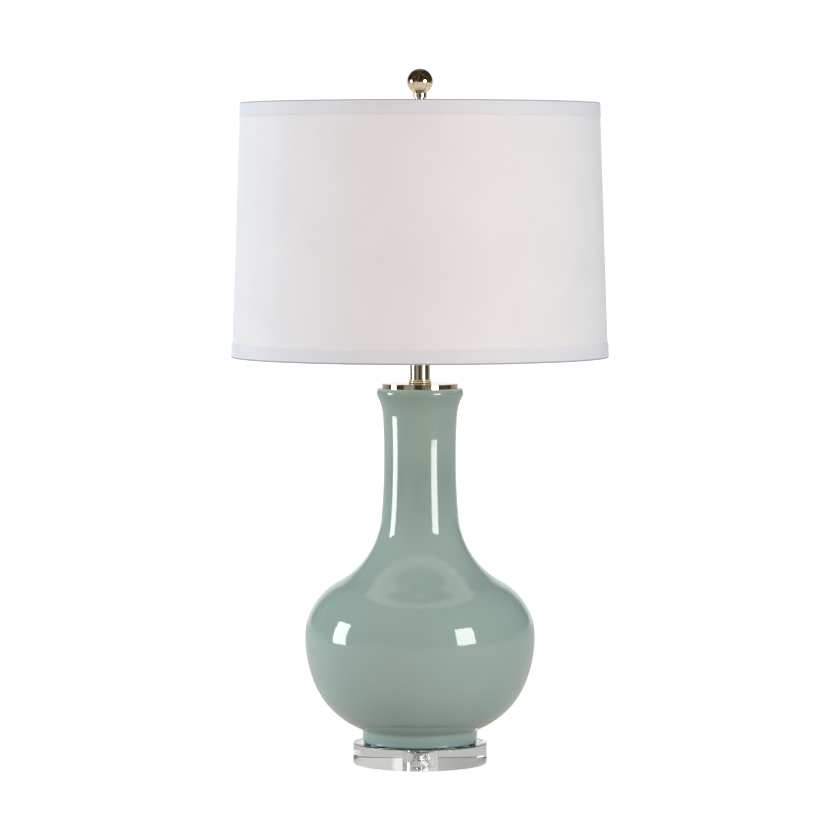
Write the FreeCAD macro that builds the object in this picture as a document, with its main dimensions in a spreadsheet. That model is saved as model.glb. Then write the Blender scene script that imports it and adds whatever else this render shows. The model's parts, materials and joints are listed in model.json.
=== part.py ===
import FreeCAD, Part
import math
import os
import Sketcher
from FreeCAD import Rotation, Vector

# A bottle-shaped ceramic table lamp on a clear disc, with a drum shade.
# Millimetres, +Z up, +X to the viewer's right, -Y towards the viewer.
# The origin is on the lamp's axis, on the surface that it stands on.

SIZES = {
    # Clear disc and its feet
    "pad_radius": 4.8,
    "pad_height": 1.2,
    "pad_circle_radius": 62.0,
    "disc_radius": 76.5,
    "disc_thickness": 23.5,
    "disc_edge": 0.8,
    "disc_recess_radius": 13.5,
    "disc_recess_depth": 14.0,
    # Threaded pipe that clamps the lamp together, and its nuts
    "rod_radius": 4.85,
    "rod_wall": 1.4,
    "rod_end_below_nut": 1.5,
    "rod_clearance": 0.25,
    "cord_hole_radius": 3.2,
    "nut_across_flats": 14.3,
    "nut_height": 4.8,
    "washer_radius": 12.0,
    "washer_thickness": 1.6,
    "lock_washer_radius": 8.0,
    "lock_washer_thickness": 1.6,
    "lock_washer_split": 1.0,
    "gasket_thickness": 0.8,
    "gasket_radius": 63.0,
    "gasket_width": 9.0,
    # Ceramic bottle: foot
    "vase_height": 405.9,
    "foot_radius": 65.2,
    "foot_flare": 0.9,
    "foot_height": 11.7,
    "foot_edge": 0.8,
    "foot_fillet": 4.0,
    "foot_wall": 8.5,
    "foot_recess": 11.4,
    # Ceramic bottle: arcs of the side, from the foot up to the lip
    "belly_radius": 131.7,
    "side_arc_radius": 140.6,
    "side_arc_turn": 22.0,
    "lower_arc_radius": 95.1,
    "shoulder_arc_radius": 71.3,
    "throat_arc_radius": 95.4,
    "neck_radius": 41.05,
    "neck_arc_radius": 786.0,
    "waist_below_lip": 78.7,
    "flare_arc_radius": 51.4,
    "lip_overhang": 8.75,
    "lip_bead_radius": 8.0,
    "lip_bead_drop": 5.3,
    "mouth_edge": 1.5,
    # Ceramic bottle: inside
    "vase_wall": 5.5,
    "vase_floor": 6.5,
    # Cord outlet in the back of the foot
    "outlet_height": 6.1,
    "outlet_sleeve_radius": 4.2,
    "outlet_bore_radius": 3.2,
    "outlet_clearance": 0.2,
    "outlet_flange_radius": 5.2,
    "outlet_flange_thickness": 1.8,
    "outlet_inner_reach": 1.6,
    # Metal cap on the mouth, and the neck tube on it
    "cap_radius": 43.7,
    "cap_height": 5.4,
    "cap_sheet": 1.0,
    "cap_edge": 0.5,
    "cap_ring_drop": 3.0,
    "cap_ring_clearance": 0.4,
    "tube_radius": 11.5,
    "tube_wall": 1.0,
    "tube_length": 47.2,
    "tube_clearance": 0.1,
    "collar_bead_radius": 1.2,
    "collar_small_bead_radius": 0.95,
    "collar_band": 0.35,
    "neck_cap_overhang": 0.6,
    "neck_cap_thickness": 1.2,
    "neck_cap_skirt": 3.0,
    # Harp saddle
    "saddle_thickness": 1.6,
    "saddle_width": 12.7,
    "saddle_bend": 1.5,
    "leg_spacing": 62.0,
    "tongue_height": 13.0,
    "tongue_width": 5.0,
    "tongue_shoulder": 0.9,
    # Harp
    "harp_height": 254.0,
    "harp_width": 116.0,
    "harp_wire_radius": 1.8,
    "harp_bend_radius": 60.0,
    "harp_side_radius": 200.0,
    "harp_side_turn": 30.0,
    "shoe_radius": 3.3,
    "shoe_gap": 1.2,
    "shoe_height": 17.0,
    "shoe_socket_depth": 4.0,
    "sleeve_wall": 0.8,
    "sleeve_length": 12.5,
    "sleeve_gap": 1.5,
    "sliding_clearance": 0.3,
    "turning_clearance": 0.3,
    "crown_radius": 8.5,
    "crown_thickness": 5.6,
    "crown_edge": 1.0,
    "seat_radius": 8.0,
    "seat_thickness": 2.3,
    "stud_radius": 3.1,
    "stud_length": 15.0,
    "stud_edge": 0.8,
    # Lamp holder
    "hub_radius": 7.5,
    "hub_height": 8.0,
    "holder_cap_radius": 16.9,
    "holder_cap_height": 21.0,
    "holder_cap_sheet": 0.7,
    "holder_cap_bend": 7.0,
    "set_screw_radius": 1.6,
    "set_screw_length": 4.0,
    "set_screw_height": 3.6,
    "screw_slot_width": 0.7,
    "screw_slot_depth": 0.8,
    "shell_radius": 16.0,
    "shell_sheet": 0.6,
    "shell_bottom": 16.5,
    "shell_top": 61.0,
    "shell_bead": 0.6,
    "insulator_wall": 0.7,
    "insulator_clearance": 0.1,
    "insulator_inset": 1.0,
    "core_bottom": 18.0,
    "core_height": 18.0,
    "core_flat": 11.0,
    "core_clearance": 0.5,
    "terminal_height": 4.5,
    "terminal_head_radius": 3.0,
    "terminal_head_height": 2.0,
    "terminal_shank_radius": 1.6,
    "terminal_shank_length": 3.0,
    "screw_shell_radius": 14.1,
    "screw_shell_sheet": 0.5,
    "screw_shell_height": 24.0,
    "contact_hole_radius": 6.0,
    "contact_length": 7.5,
    "contact_rise": 2.2,
    "contact_sheet": 0.5,
    "contact_width": 4.4,
    # Switch
    "switch_height": 10.5,
    "switch_slot_half_width": 3.4,
    "switch_shaft_radius": 2.0,
    "switch_shaft_root": 6.0,
    "knob_reach": 34.0,
    "knob_length": 13.0,
    "knob_radius": 7.0,
    "knob_edge": 1.0,
    "knob_bore_depth": 7.0,
    "knob_flute_radius": 1.1,
    "knob_flutes": 12,
    # Bulb
    "bulb_base_radius": 13.1,
    "bulb_base_height": 20.0,
    "bulb_base_sheet": 0.4,
    "bulb_base_taper": 2.0,
    "bulb_insulator_height": 5.0,
    "bulb_insulator_radius": 5.5,
    "bulb_tip_radius": 4.5,
    "bulb_tip_height": 1.3,
    "bulb_radius": 30.0,
    "bulb_glass": 0.8,
    "bulb_neck_radius": 12.6,
    "bulb_neck_in_base": 6.0,
    "bulb_neck_height": 8.0,
    "bulb_flare_radius": 45.0,
    # Shade
    "shade_height": 289.3,
    "shade_bottom_radius": 215.2,
    "shade_taper": 10.1,
    "trim_thickness": 0.5,
    "trim_height": 16.5,
    "trim_glue": 0.05,
    "fabric_thickness": 0.5,
    "liner_thickness": 0.4,
    "ring_wire_radius": 1.5,
    "spider_washer_radius": 14.0,
    "spider_hole_radius": 5.55,
    "spider_washer_thickness": 2.0,
    "spider_drop": 8.5,
    "spider_arms": 3,
    "spider_arm_overlap": 3.0,
    "spider_arm_bend": 12.0,
    "spider_arm_turn": 30.0,
    "weld_gap": 0.05,
    # Finial
    "finial_base_radius": 9.0,
    "finial_base_rim": 2.2,
    "finial_waist_radius": 5.8,
    "finial_waist_height": 11.0,
    "finial_cup_radius": 7.6,
    "finial_cup_height": 5.6,
    "finial_cup_edge": 0.4,
    "finial_stem_height": 19.5,
    "finial_ball_radius": 14.7,
    "finial_seat_radius": 7.0,
    "finial_bore_clearance": 0.3,
    "finial_bore_spare": 0.6,
}

doc = FreeCAD.newDocument("TableLamp")
sizes_sheet = doc.addObject("Spreadsheet::Sheet", "Sizes")
layout_sheet = doc.addObject("Spreadsheet::Sheet", "Layout")


class Size:
    """A number that carries the formula it was worked out with."""

    def __init__(self, value, formula=None):
        self.value = float(value)
        self.formula = formula or repr(value)

    def __add__(self, other):
        other = as_size(other)
        return Size(self.value + other.value, f"({self.formula} + {other.formula})")

    def __sub__(self, other):
        other = as_size(other)
        return Size(self.value - other.value, f"({self.formula} - {other.formula})")

    def __mul__(self, other):
        other = as_size(other)
        return Size(self.value * other.value, f"({self.formula} * {other.formula})")

    def __truediv__(self, other):
        other = as_size(other)
        return Size(self.value / other.value, f"({self.formula} / {other.formula})")

    def __radd__(self, other):
        return as_size(other) + self

    def __rsub__(self, other):
        return as_size(other) - self

    def __rmul__(self, other):
        return as_size(other) * self

    def __neg__(self):
        return as_size(0) - self


def as_size(number):
    return number if isinstance(number, Size) else Size(number)


def square(size):
    return size * size


def root(size):
    return Size(math.sqrt(size.value), f"sqrt({size.formula})")


def sine(degrees):
    return Size(math.sin(math.radians(degrees.value)), f"sin({degrees.formula})")


def cosine(degrees):
    return Size(math.cos(math.radians(degrees.value)), f"cos({degrees.formula})")


class Driving:
    """The driving sizes, read by name and tied to the cells of the sheet."""

    def __init__(self, sheet, sizes):
        for row, (name, value) in enumerate(sizes.items(), start=1):
            sheet.set(f"A{row}", name)
            sheet.set(f"B{row}", str(value))
            sheet.setAlias(f"B{row}", name)
            setattr(self, name, Size(value, f"Sizes.{name}"))


class WorkedOut:
    """Sizes that follow from the driving ones, kept in a sheet of formulas."""

    def __init__(self, sheet):
        self.sheet = sheet
        self.rows = 0

    def keep(self, name, size):
        self.rows += 1
        self.sheet.set(f"A{self.rows}", name)
        self.sheet.set(f"B{self.rows}", "=" + size.formula)
        self.sheet.setAlias(f"B{self.rows}", name)
        kept = Size(size.value, f"Layout.{name}")
        setattr(self, name, kept)
        return kept


S = Driving(sizes_sheet, SIZES)
L = WorkedOut(layout_sheet)


# ---------------------------------------------------------------- drawing tools

class Corner:
    """A corner of an outline, reached from the corner before by a line or an arc."""

    def __init__(self, across, up, centre=None, clockwise=False):
        self.across = as_size(across)
        self.up = as_size(up)
        self.centre = centre and Corner(centre[0], centre[1])
        self.clockwise = clockwise

    def vector(self):
        return Vector(self.across.value, self.up.value, 0)


def arc_between(start, end):
    """The arc from one corner to the next, drawn anticlockwise as a sketch needs it."""
    middle = end.centre.vector()
    first, last = (end, start) if end.clockwise else (start, end)
    angles = [math.atan2(p.vector().y - middle.y, p.vector().x - middle.x) for p in (first, last)]
    circle = Part.Circle(middle, Vector(0, 0, 1), (start.vector() - middle).Length)
    return Part.ArcOfCircle(circle, angles[0], angles[1])


def tie(sketch, kind, edge, point, size):
    """Holds one coordinate of a point of an edge at its size."""
    if size.formula == "0":
        axis = {"DistanceX": -2, "DistanceY": -1}[kind]
        sketch.addConstraint(Sketcher.Constraint("PointOnObject", edge, point, axis))
    else:
        index = sketch.addConstraint(Sketcher.Constraint(kind, edge, point, size.value))
        sketch.setExpression(f"Constraints[{index}]", size.formula)


def tie_point(sketch, edge, point, corner):
    tie(sketch, "DistanceX", edge, point, corner.across)
    tie(sketch, "DistanceY", edge, point, corner.up)


def tie_centre(sketch, edge, start, end):
    """Holds an arc's centre, which can only slide square to the arc's chord."""
    chord = end.vector() - start.vector()
    if abs(chord.y) > abs(chord.x):
        tie(sketch, "DistanceX", edge, 3, end.centre.across)
    else:
        tie(sketch, "DistanceY", edge, 3, end.centre.up)


def draw_path(sketch, corners, closed=True):
    """Draws a chain of lines and arcs through the corners and ties it to their sizes."""
    count = len(corners) if closed else len(corners) - 1
    first_edge = sketch.GeometryCount
    for index in range(count):
        start, end = corners[index], corners[(index + 1) % len(corners)]
        if end.centre is None:
            edge = sketch.addGeometry(Part.LineSegment(start.vector(), end.vector()), False)
            start_point = 1
        else:
            edge = sketch.addGeometry(arc_between(start, end), False)
            start_point = 2 if end.clockwise else 1
            tie_centre(sketch, edge, start, end)
        if index > 0:
            join(sketch, edge - 1, last_point, edge, start_point)
        else:
            first_point = start_point
        tie_point(sketch, edge, start_point, start)
        last_point = 3 - start_point
    if closed:
        join(sketch, edge, last_point, first_edge, first_point)
    else:
        tie_point(sketch, edge, last_point, corners[-1])


def join(sketch, edge, point, next_edge, next_point):
    sketch.addConstraint(Sketcher.Constraint("Coincident", edge, point, next_edge, next_point))


def draw_circle(sketch, across, up, radius):
    centre = Corner(across, up)
    circle = Part.Circle(centre.vector(), Vector(0, 0, 1), radius.value)
    edge = sketch.addGeometry(circle, False)
    index = sketch.addConstraint(Sketcher.Constraint("Radius", edge, radius.value))
    sketch.setExpression(f"Constraints[{index}]", radius.formula)
    tie_point(sketch, edge, 3, centre)


def box_corners(left, right, bottom, top):
    return [Corner(left, bottom), Corner(right, bottom), Corner(right, top), Corner(left, top)]


def origin_item(body, role):
    return [item for item in body.Origin.OriginFeatures if item.Role == role][0]


def new_body(name):
    body = doc.addObject("PartDesign::Body", name)
    body.Label = name
    return body


def new_sketch(body, role, purpose, offset=None):
    """A sketch on one of the body's own planes, moved along its normal by the offset."""
    sketch = body.newObject("Sketcher::SketchObject", f"{body.Name}_{purpose}")
    sketch.AttachmentSupport = [(origin_item(body, role), "")]
    sketch.MapMode = "FlatFace"
    if offset is not None:
        sketch.setExpression("AttachmentOffset.Base.z", offset.formula)
    return sketch


def turned(name, corners):
    """A turned piece: its half section, drawn as radius and height, swung about the axis."""
    body = new_body(name)
    sketch = new_sketch(body, "XZ_Plane", "section")
    draw_path(sketch, corners)
    feature = body.newObject("PartDesign::Revolution", f"{name}_turn")
    feature.Profile = sketch
    feature.ReferenceAxis = (sketch, ["V_Axis"])
    feature.Angle = 360
    return body


def pad(body, sketch, length, purpose="pad", both_ways=False):
    feature = body.newObject("PartDesign::Pad", f"{body.Name}_{purpose}")
    feature.Profile = sketch
    feature.setExpression("Length", length.formula)
    if both_ways:
        feature.Midplane = True
    return feature


def pocket(body, sketch, length, purpose, reversed_cut=False, both_ways=False):
    feature = body.newObject("PartDesign::Pocket", f"{body.Name}_{purpose}")
    feature.Profile = sketch
    feature.setExpression("Length", length.formula)
    feature.Reversed = reversed_cut
    if both_ways:
        feature.Midplane = True
    return feature


def pipe(body, path, section, purpose="pipe"):
    feature = body.newObject("PartDesign::AdditivePipe", f"{body.Name}_{purpose}")
    feature.Profile = section
    feature.Spine = path
    return feature


def polar_pattern(body, feature, count):
    pattern = body.newObject("PartDesign::PolarPattern", f"{body.Name}_pattern")
    pattern.Originals = [feature]
    pattern.Axis = (origin_item(body, "Z_Axis"), [""])
    pattern.Angle = 360
    pattern.setExpression("Occurrences", count.formula)
    body.Tip = pattern
    return pattern


def place(thing, across=None, back=None, up=None, turn=None):
    """Turns a piece, then moves it to its place on the lamp."""
    if turn is not None:
        thing.Placement = FreeCAD.Placement(Vector(0, 0, 0), turn)
    for field, size in (("x", across), ("y", back), ("z", up)):
        if size is not None:
            thing.setExpression(f"Placement.Base.{field}", as_size(size).formula)
    return thing


def primitive(kind, name, **fields):
    thing = doc.addObject(f"Part::{kind}", name)
    for field, size in fields.items():
        thing.setExpression(field, as_size(size).formula)
    return thing


def cylinder(name, radius, height, **where):
    return place(primitive("Cylinder", name, Radius=radius, Height=height), **where)


def block(name, length, width, height, **where):
    return place(primitive("Box", name, Length=length, Width=width, Height=height), **where)


def cut(name, base, *tools):
    """The base with every tool taken out of it."""
    if len(tools) > 1:
        tool = doc.addObject("Part::MultiFuse", f"{name}_tools")
        tool.Shapes = list(tools)
    else:
        tool = tools[0]
    result = doc.addObject("Part::Cut", name)
    result.Base = base
    result.Tool = tool
    result.Label = name
    return result


def group(name, pieces):
    """Separate solids that share one node."""
    result = doc.addObject("Part::Compound", name)
    result.Links = pieces
    result.Label = name
    return result


DIAGONAL = Size(45)
HALF_HEXAGON_SIDE = Size(30)
UP_TO_BACK = Rotation(Vector(1, 0, 0), -90)
UP_TO_FRONT = Rotation(Vector(1, 0, 0), 90)
UP_TO_RIGHT = Rotation(Vector(0, 1, 0), 90)
UP_TO_LEFT = Rotation(Vector(0, 1, 0), -90)

# ---------------------------------------------------------------- heights of the stack

base_top = L.keep("base_top", S.pad_height + S.disc_thickness)
foot_bottom = L.keep("foot_bottom", base_top + S.gasket_thickness)
lip_top = L.keep("lip_top", foot_bottom + S.vase_height)
cap_top = L.keep("cap_top", lip_top + S.cap_height)
tube_top = L.keep("tube_top", cap_top + S.tube_length)
neck_nut_bottom = L.keep("neck_nut_bottom", tube_top + S.neck_cap_thickness)
saddle_bottom = L.keep("saddle_bottom", neck_nut_bottom + S.nut_height)
saddle_top = L.keep("saddle_top", saddle_bottom + S.saddle_thickness)
seat_top = L.keep("seat_top", saddle_top + S.harp_height)
washer_bottom = L.keep("spider_washer_bottom", seat_top + S.turning_clearance)
washer_top = L.keep("spider_washer_top", washer_bottom + S.spider_washer_thickness)
shade_top = L.keep("shade_top", washer_top + S.spider_drop)
shade_bottom = L.keep("shade_bottom", shade_top - S.shade_height)
finial_bottom = L.keep("finial_bottom", washer_top + S.turning_clearance)
recess_ceiling = L.keep("recess_ceiling", S.pad_height + S.disc_recess_depth)
lock_washer_top = L.keep("lock_washer_top", recess_ceiling - S.washer_thickness)
base_nut_top = L.keep("base_nut_top", lock_washer_top - S.lock_washer_thickness)
base_nut_bottom = L.keep("base_nut_bottom", base_nut_top - S.nut_height)
rod_bottom = L.keep("rod_bottom", base_nut_bottom - S.rod_end_below_nut)
rod_top = L.keep("rod_top", saddle_top + S.hub_height)
rod_hole_radius = L.keep("rod_hole_radius", S.rod_radius + S.rod_clearance)
leg_offset = L.keep("leg_offset", S.leg_spacing / 2)
outlet_axis = L.keep("outlet_axis", foot_bottom + S.outlet_height)


# ---------------------------------------------------------------- base

def build_bumper_pads():
    offset = L.keep("pad_offset", S.pad_circle_radius * cosine(DIAGONAL))
    pads = []
    for side in (-1, 1):
        for depth in (-1, 1):
            name = f"bumper_pad_{len(pads) + 1}"
            pads.append(cylinder(name, S.pad_radius, S.pad_height,
                                 across=offset * side, back=offset * depth))
    return group("bumper_pads", pads)


def build_crystal_base():
    edge = S.disc_edge
    disc = turned("crystal_base", [
        Corner(S.disc_recess_radius, 0),
        Corner(S.disc_radius - edge, 0),
        Corner(S.disc_radius, edge),
        Corner(S.disc_radius, S.disc_thickness - edge),
        Corner(S.disc_radius - edge, S.disc_thickness),
        Corner(rod_hole_radius, S.disc_thickness),
        Corner(rod_hole_radius, S.disc_recess_depth),
        Corner(S.disc_recess_radius, S.disc_recess_depth),
    ])
    return place(disc, up=S.pad_height)


def build_ring(name, inner, outer, height, up):
    return place(turned(name, box_corners(inner, outer, 0, height)), up=up)


def build_base_lock_washer():
    """A split spring washer."""
    height = S.lock_washer_thickness
    washer = turned("base_lock_washer", box_corners(rod_hole_radius, S.lock_washer_radius, 0, height))
    split = new_sketch(washer, "YZ_Plane", "split_shape")
    draw_path(split, box_corners(-S.lock_washer_split / 2, S.lock_washer_split / 2, -height, 2 * height))
    pocket(washer, split, 2 * S.lock_washer_radius, "split", reversed_cut=True)
    return place(washer, up=base_nut_top)


def build_hex_nut(name, up):
    corner_radius = S.nut_across_flats / 2 / cosine(HALF_HEXAGON_SIDE)
    prism = primitive("Prism", f"{name}_blank", Circumradius=corner_radius, Height=S.nut_height)
    prism.Polygon = 6
    bore = cylinder(f"{name}_bore", rod_hole_radius, S.nut_height)
    return place(cut(name, prism, bore), up=up)


def build_threaded_rod():
    length = L.keep("rod_length", rod_top - rod_bottom)
    rod = turned("threaded_rod", box_corners(S.rod_radius - S.rod_wall, S.rod_radius, 0, length))
    hole = new_sketch(rod, "XZ_Plane", "cord_hole_shape")
    draw_circle(hole, 0, outlet_axis - rod_bottom, S.cord_hole_radius)
    pocket(rod, hole, 2 * S.rod_radius, "cord_hole")
    return place(rod, up=rod_bottom)


# ---------------------------------------------------------------- ceramic bottle

class Circle:
    """A circle of the bottle's section, with its centre as radius and height."""

    def __init__(self, name, across, up, radius):
        self.across = L.keep(f"{name}_across", across)
        self.up = L.keep(f"{name}_up", up)
        self.radius = radius

    def gap_to(self, other):
        return root(square(self.across - other.across) + square(self.up - other.up))

    def point_towards(self, other, reach, share):
        """The point at the given reach from this centre, on the line to the other centre."""
        return (self.across + (other.across - self.across) * reach / share,
                self.up + (other.up - self.up) * reach / share)


def crossing(name, first, reach_first, second, reach_second):
    """Where circles about two centres cross, to the left of the way from first to second."""
    gap = L.keep(f"{name}_gap", first.gap_to(second))
    along = L.keep(f"{name}_along",
                   (square(gap) + square(reach_first) - square(reach_second)) / (2 * gap))
    off = L.keep(f"{name}_off", root(square(reach_first) - square(along)))
    step_across = (second.across - first.across) / gap
    step_up = (second.up - first.up) / gap
    return (first.across + along * step_across - off * step_up,
            first.up + along * step_up + off * step_across)


def vase_circles():
    """The tangent circles of the bottle's side. Heights are above the foot."""
    foot_top = S.foot_radius + S.foot_flare
    turn = S.side_arc_turn
    step = S.side_arc_radius - S.lower_arc_radius
    side_across = S.belly_radius - S.side_arc_radius
    lower_across = side_across + step * cosine(turn)
    fillet_across = foot_top + S.foot_fillet
    rise = root(square(S.lower_arc_radius + S.foot_fillet) - square(fillet_across - lower_across))
    fillet = Circle("foot_fillet_centre", fillet_across, S.foot_height, S.foot_fillet)
    lower = Circle("lower_arc_centre", lower_across, S.foot_height + rise, S.lower_arc_radius)
    side = Circle("side_arc_centre", side_across, lower.up + step * sine(turn), S.side_arc_radius)
    shoulder = Circle("shoulder_centre", S.belly_radius - S.shoulder_arc_radius, side.up,
                      S.shoulder_arc_radius)
    waist = S.vase_height - S.waist_below_lip
    neck = Circle("neck_centre", S.neck_radius + S.neck_arc_radius, waist, S.neck_arc_radius)
    bead = Circle("lip_bead_centre", S.neck_radius + S.lip_overhang - S.lip_bead_radius,
                  S.vase_height - S.lip_bead_drop, S.lip_bead_radius)
    throat_place = crossing("throat", shoulder, S.shoulder_arc_radius + S.throat_arc_radius,
                            neck, S.neck_arc_radius - S.throat_arc_radius)
    throat = Circle("throat_centre", throat_place[0], throat_place[1], S.throat_arc_radius)
    flare_place = crossing("flare", neck, S.neck_arc_radius - S.flare_arc_radius,
                           bead, S.flare_arc_radius + S.lip_bead_radius)
    flare = Circle("flare_centre", flare_place[0], flare_place[1], S.flare_arc_radius)
    return fillet, lower, side, shoulder, throat, neck, flare, bead


def arc_to(point, circle, clockwise=False):
    return Corner(point[0], point[1], (circle.across, circle.up), clockwise)


def build_ceramic_body():
    fillet, lower, side, shoulder, throat, neck, flare, bead = vase_circles()
    turn, wall = S.side_arc_turn, S.vase_wall
    throat_gap = S.neck_arc_radius - S.throat_arc_radius
    flare_gap = S.neck_arc_radius - S.flare_arc_radius
    shoulder_gap = S.shoulder_arc_radius + S.throat_arc_radius

    def lower_join(radius):
        return (side.across + radius * cosine(turn), side.up - radius * sine(turn))

    foot_join = fillet.point_towards(lower, fillet.radius, fillet.radius + lower.radius)
    shoulder_join = shoulder.point_towards(throat, shoulder.radius, shoulder_gap)
    throat_join = neck.point_towards(throat, neck.radius, throat_gap)
    flare_join = neck.point_towards(flare, neck.radius, flare_gap)
    bead_join = bead.point_towards(flare, bead.radius, bead.radius + flare.radius)
    lip_edge = bead.across + root(square(bead.radius) - square(S.lip_bead_drop))
    outside = [
        Corner(S.foot_radius - S.foot_wall, 0),
        Corner(S.foot_radius - S.foot_edge, 0),
        Corner(S.foot_radius, S.foot_edge),
        Corner(S.foot_radius + S.foot_flare, S.foot_height),
        arc_to(foot_join, fillet, clockwise=True),
        arc_to(lower_join(side.radius), lower),
        arc_to((S.belly_radius, side.up), side),
        arc_to(shoulder_join, shoulder),
        arc_to(throat_join, throat, clockwise=True),
        arc_to(flare_join, neck, clockwise=True),
        arc_to(bead_join, flare, clockwise=True),
        arc_to((lip_edge, S.vase_height), bead),
    ]
    mouth = S.neck_radius - wall
    floor = S.foot_recess + S.vase_floor
    inner_shoulder = shoulder.point_towards(throat, shoulder.radius - wall, shoulder_gap)
    inner_throat = neck.point_towards(throat, neck.radius + wall, throat_gap)
    floor_corner = lower.across + root(square(lower.radius - wall) - square(lower.up - floor))
    inside = [
        Corner(mouth + S.mouth_edge, S.vase_height),
        Corner(mouth, S.vase_height - S.mouth_edge),
        Corner(mouth, neck.up),
        arc_to(inner_throat, neck),
        arc_to(inner_shoulder, throat),
        arc_to((S.belly_radius - wall, side.up), shoulder, clockwise=True),
        arc_to(lower_join(side.radius - wall), side, clockwise=True),
        arc_to((floor_corner, floor), lower, clockwise=True),
        Corner(rod_hole_radius, floor),
        Corner(rod_hole_radius, S.foot_recess),
        Corner(S.foot_radius - S.foot_wall, S.foot_recess),
    ]
    vase = turned("ceramic_body", outside + inside)
    outlet = new_sketch(vase, "XZ_Plane", "outlet_shape")
    draw_circle(outlet, 0, S.outlet_height, S.outlet_sleeve_radius + S.outlet_clearance)
    pocket(vase, outlet, S.foot_radius + 2 * S.foot_wall, "outlet")
    return place(vase, up=foot_bottom)


def build_cord_bushing():
    """A flanged sleeve in the back of the foot, drawn from the flange's seat outwards."""
    seat = S.foot_radius + S.foot_flare
    sleeve = S.foot_flare + S.foot_wall + S.outlet_inner_reach
    bushing = turned("cord_bushing", [
        Corner(S.outlet_bore_radius, -sleeve),
        Corner(S.outlet_sleeve_radius, -sleeve),
        Corner(S.outlet_sleeve_radius, 0),
        Corner(S.outlet_flange_radius, 0),
        Corner(S.outlet_flange_radius, S.outlet_flange_thickness / 2),
        Corner(S.outlet_sleeve_radius, S.outlet_flange_thickness),
        Corner(S.outlet_bore_radius, S.outlet_flange_thickness),
    ])
    return place(bushing, back=seat, up=outlet_axis, turn=UP_TO_BACK)


# ---------------------------------------------------------------- metal neck

def build_vase_cap():
    """A spun disc with a turned-down rim and a ring that centres it in the mouth."""
    sheet = S.cap_sheet
    plate = S.cap_height - sheet
    ring = S.neck_radius - S.vase_wall - S.cap_ring_clearance
    cap = turned("vase_cap", [
        Corner(rod_hole_radius, plate),
        Corner(ring - sheet, plate),
        Corner(ring - sheet, -S.cap_ring_drop),
        Corner(ring, -S.cap_ring_drop),
        Corner(ring, plate),
        Corner(S.cap_radius - sheet, plate),
        Corner(S.cap_radius - sheet, 0),
        Corner(S.cap_radius, 0),
        Corner(S.cap_radius, S.cap_height - S.cap_edge),
        Corner(S.cap_radius - S.cap_edge, S.cap_height),
        Corner(rod_hole_radius, S.cap_height),
    ])
    return place(cap, up=lip_top)


def build_neck_collar():
    """Two round beads around the foot of the neck tube."""
    bore = S.tube_radius + S.tube_clearance
    core = L.keep("collar_core", bore + S.collar_band)
    large, small = S.collar_bead_radius, S.collar_small_bead_radius
    height = 2 * (large + small)
    collar = turned("neck_collar", [
        Corner(bore, 0),
        Corner(core, 0),
        Corner(core, 2 * large, (core, large)),
        Corner(core, height, (core, 2 * large + small)),
        Corner(bore, height),
    ])
    return place(collar, up=cap_top)


def build_neck_top_cap():
    skirt = S.tube_radius - S.tube_wall - S.tube_clearance
    cap = turned("neck_top_cap", [
        Corner(rod_hole_radius, 0),
        Corner(skirt - S.tube_wall, 0),
        Corner(skirt - S.tube_wall, -S.neck_cap_skirt),
        Corner(skirt, -S.neck_cap_skirt),
        Corner(skirt, 0),
        Corner(S.tube_radius + S.neck_cap_overhang, 0),
        Corner(S.tube_radius + S.neck_cap_overhang, S.neck_cap_thickness),
        Corner(rod_hole_radius, S.neck_cap_thickness),
    ])
    return place(cap, up=tube_top)


# ---------------------------------------------------------------- harp

def build_harp_saddle():
    """A flat strip with its ends bent up and narrowed into tongues."""
    sheet, bend = S.saddle_thickness, S.saddle_bend
    outer, inner = leg_offset + sheet / 2, leg_offset - sheet / 2
    top = sheet + S.tongue_height
    turn_height = sheet + bend
    centre = inner - bend
    saddle = new_body("harp_saddle")
    strip = new_sketch(saddle, "XZ_Plane", "strip_shape")
    draw_path(strip, [
        Corner(-outer, top),
        Corner(-outer, turn_height),
        Corner(-centre, 0, (-centre, turn_height)),
        Corner(centre, 0),
        Corner(outer, turn_height, (centre, turn_height)),
        Corner(outer, top),
        Corner(inner, top),
        Corner(inner, turn_height),
        Corner(centre, sheet, (centre, turn_height), clockwise=True),
        Corner(-centre, sheet),
        Corner(-inner, turn_height, (-centre, turn_height), clockwise=True),
        Corner(-inner, top),
    ])
    pad(saddle, strip, S.saddle_width, both_ways=True)
    for side, word in ((-1, "front"), (1, "back")):
        narrow = new_sketch(saddle, "YZ_Plane", f"{word}_shoulder_shape")
        near, far = S.tongue_width / 2 * side, S.saddle_width * side
        draw_path(narrow, box_corners(near, far, sheet + S.tongue_shoulder, 2 * top))
        pocket(saddle, narrow, 4 * outer, f"{word}_shoulder", both_ways=True)
    hole = new_sketch(saddle, "XY_Plane", "hole_shape")
    draw_circle(hole, 0, 0, rod_hole_radius)
    pocket(saddle, hole, 4 * sheet, "hole", both_ways=True)
    return place(saddle, up=saddle_bottom)


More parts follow.
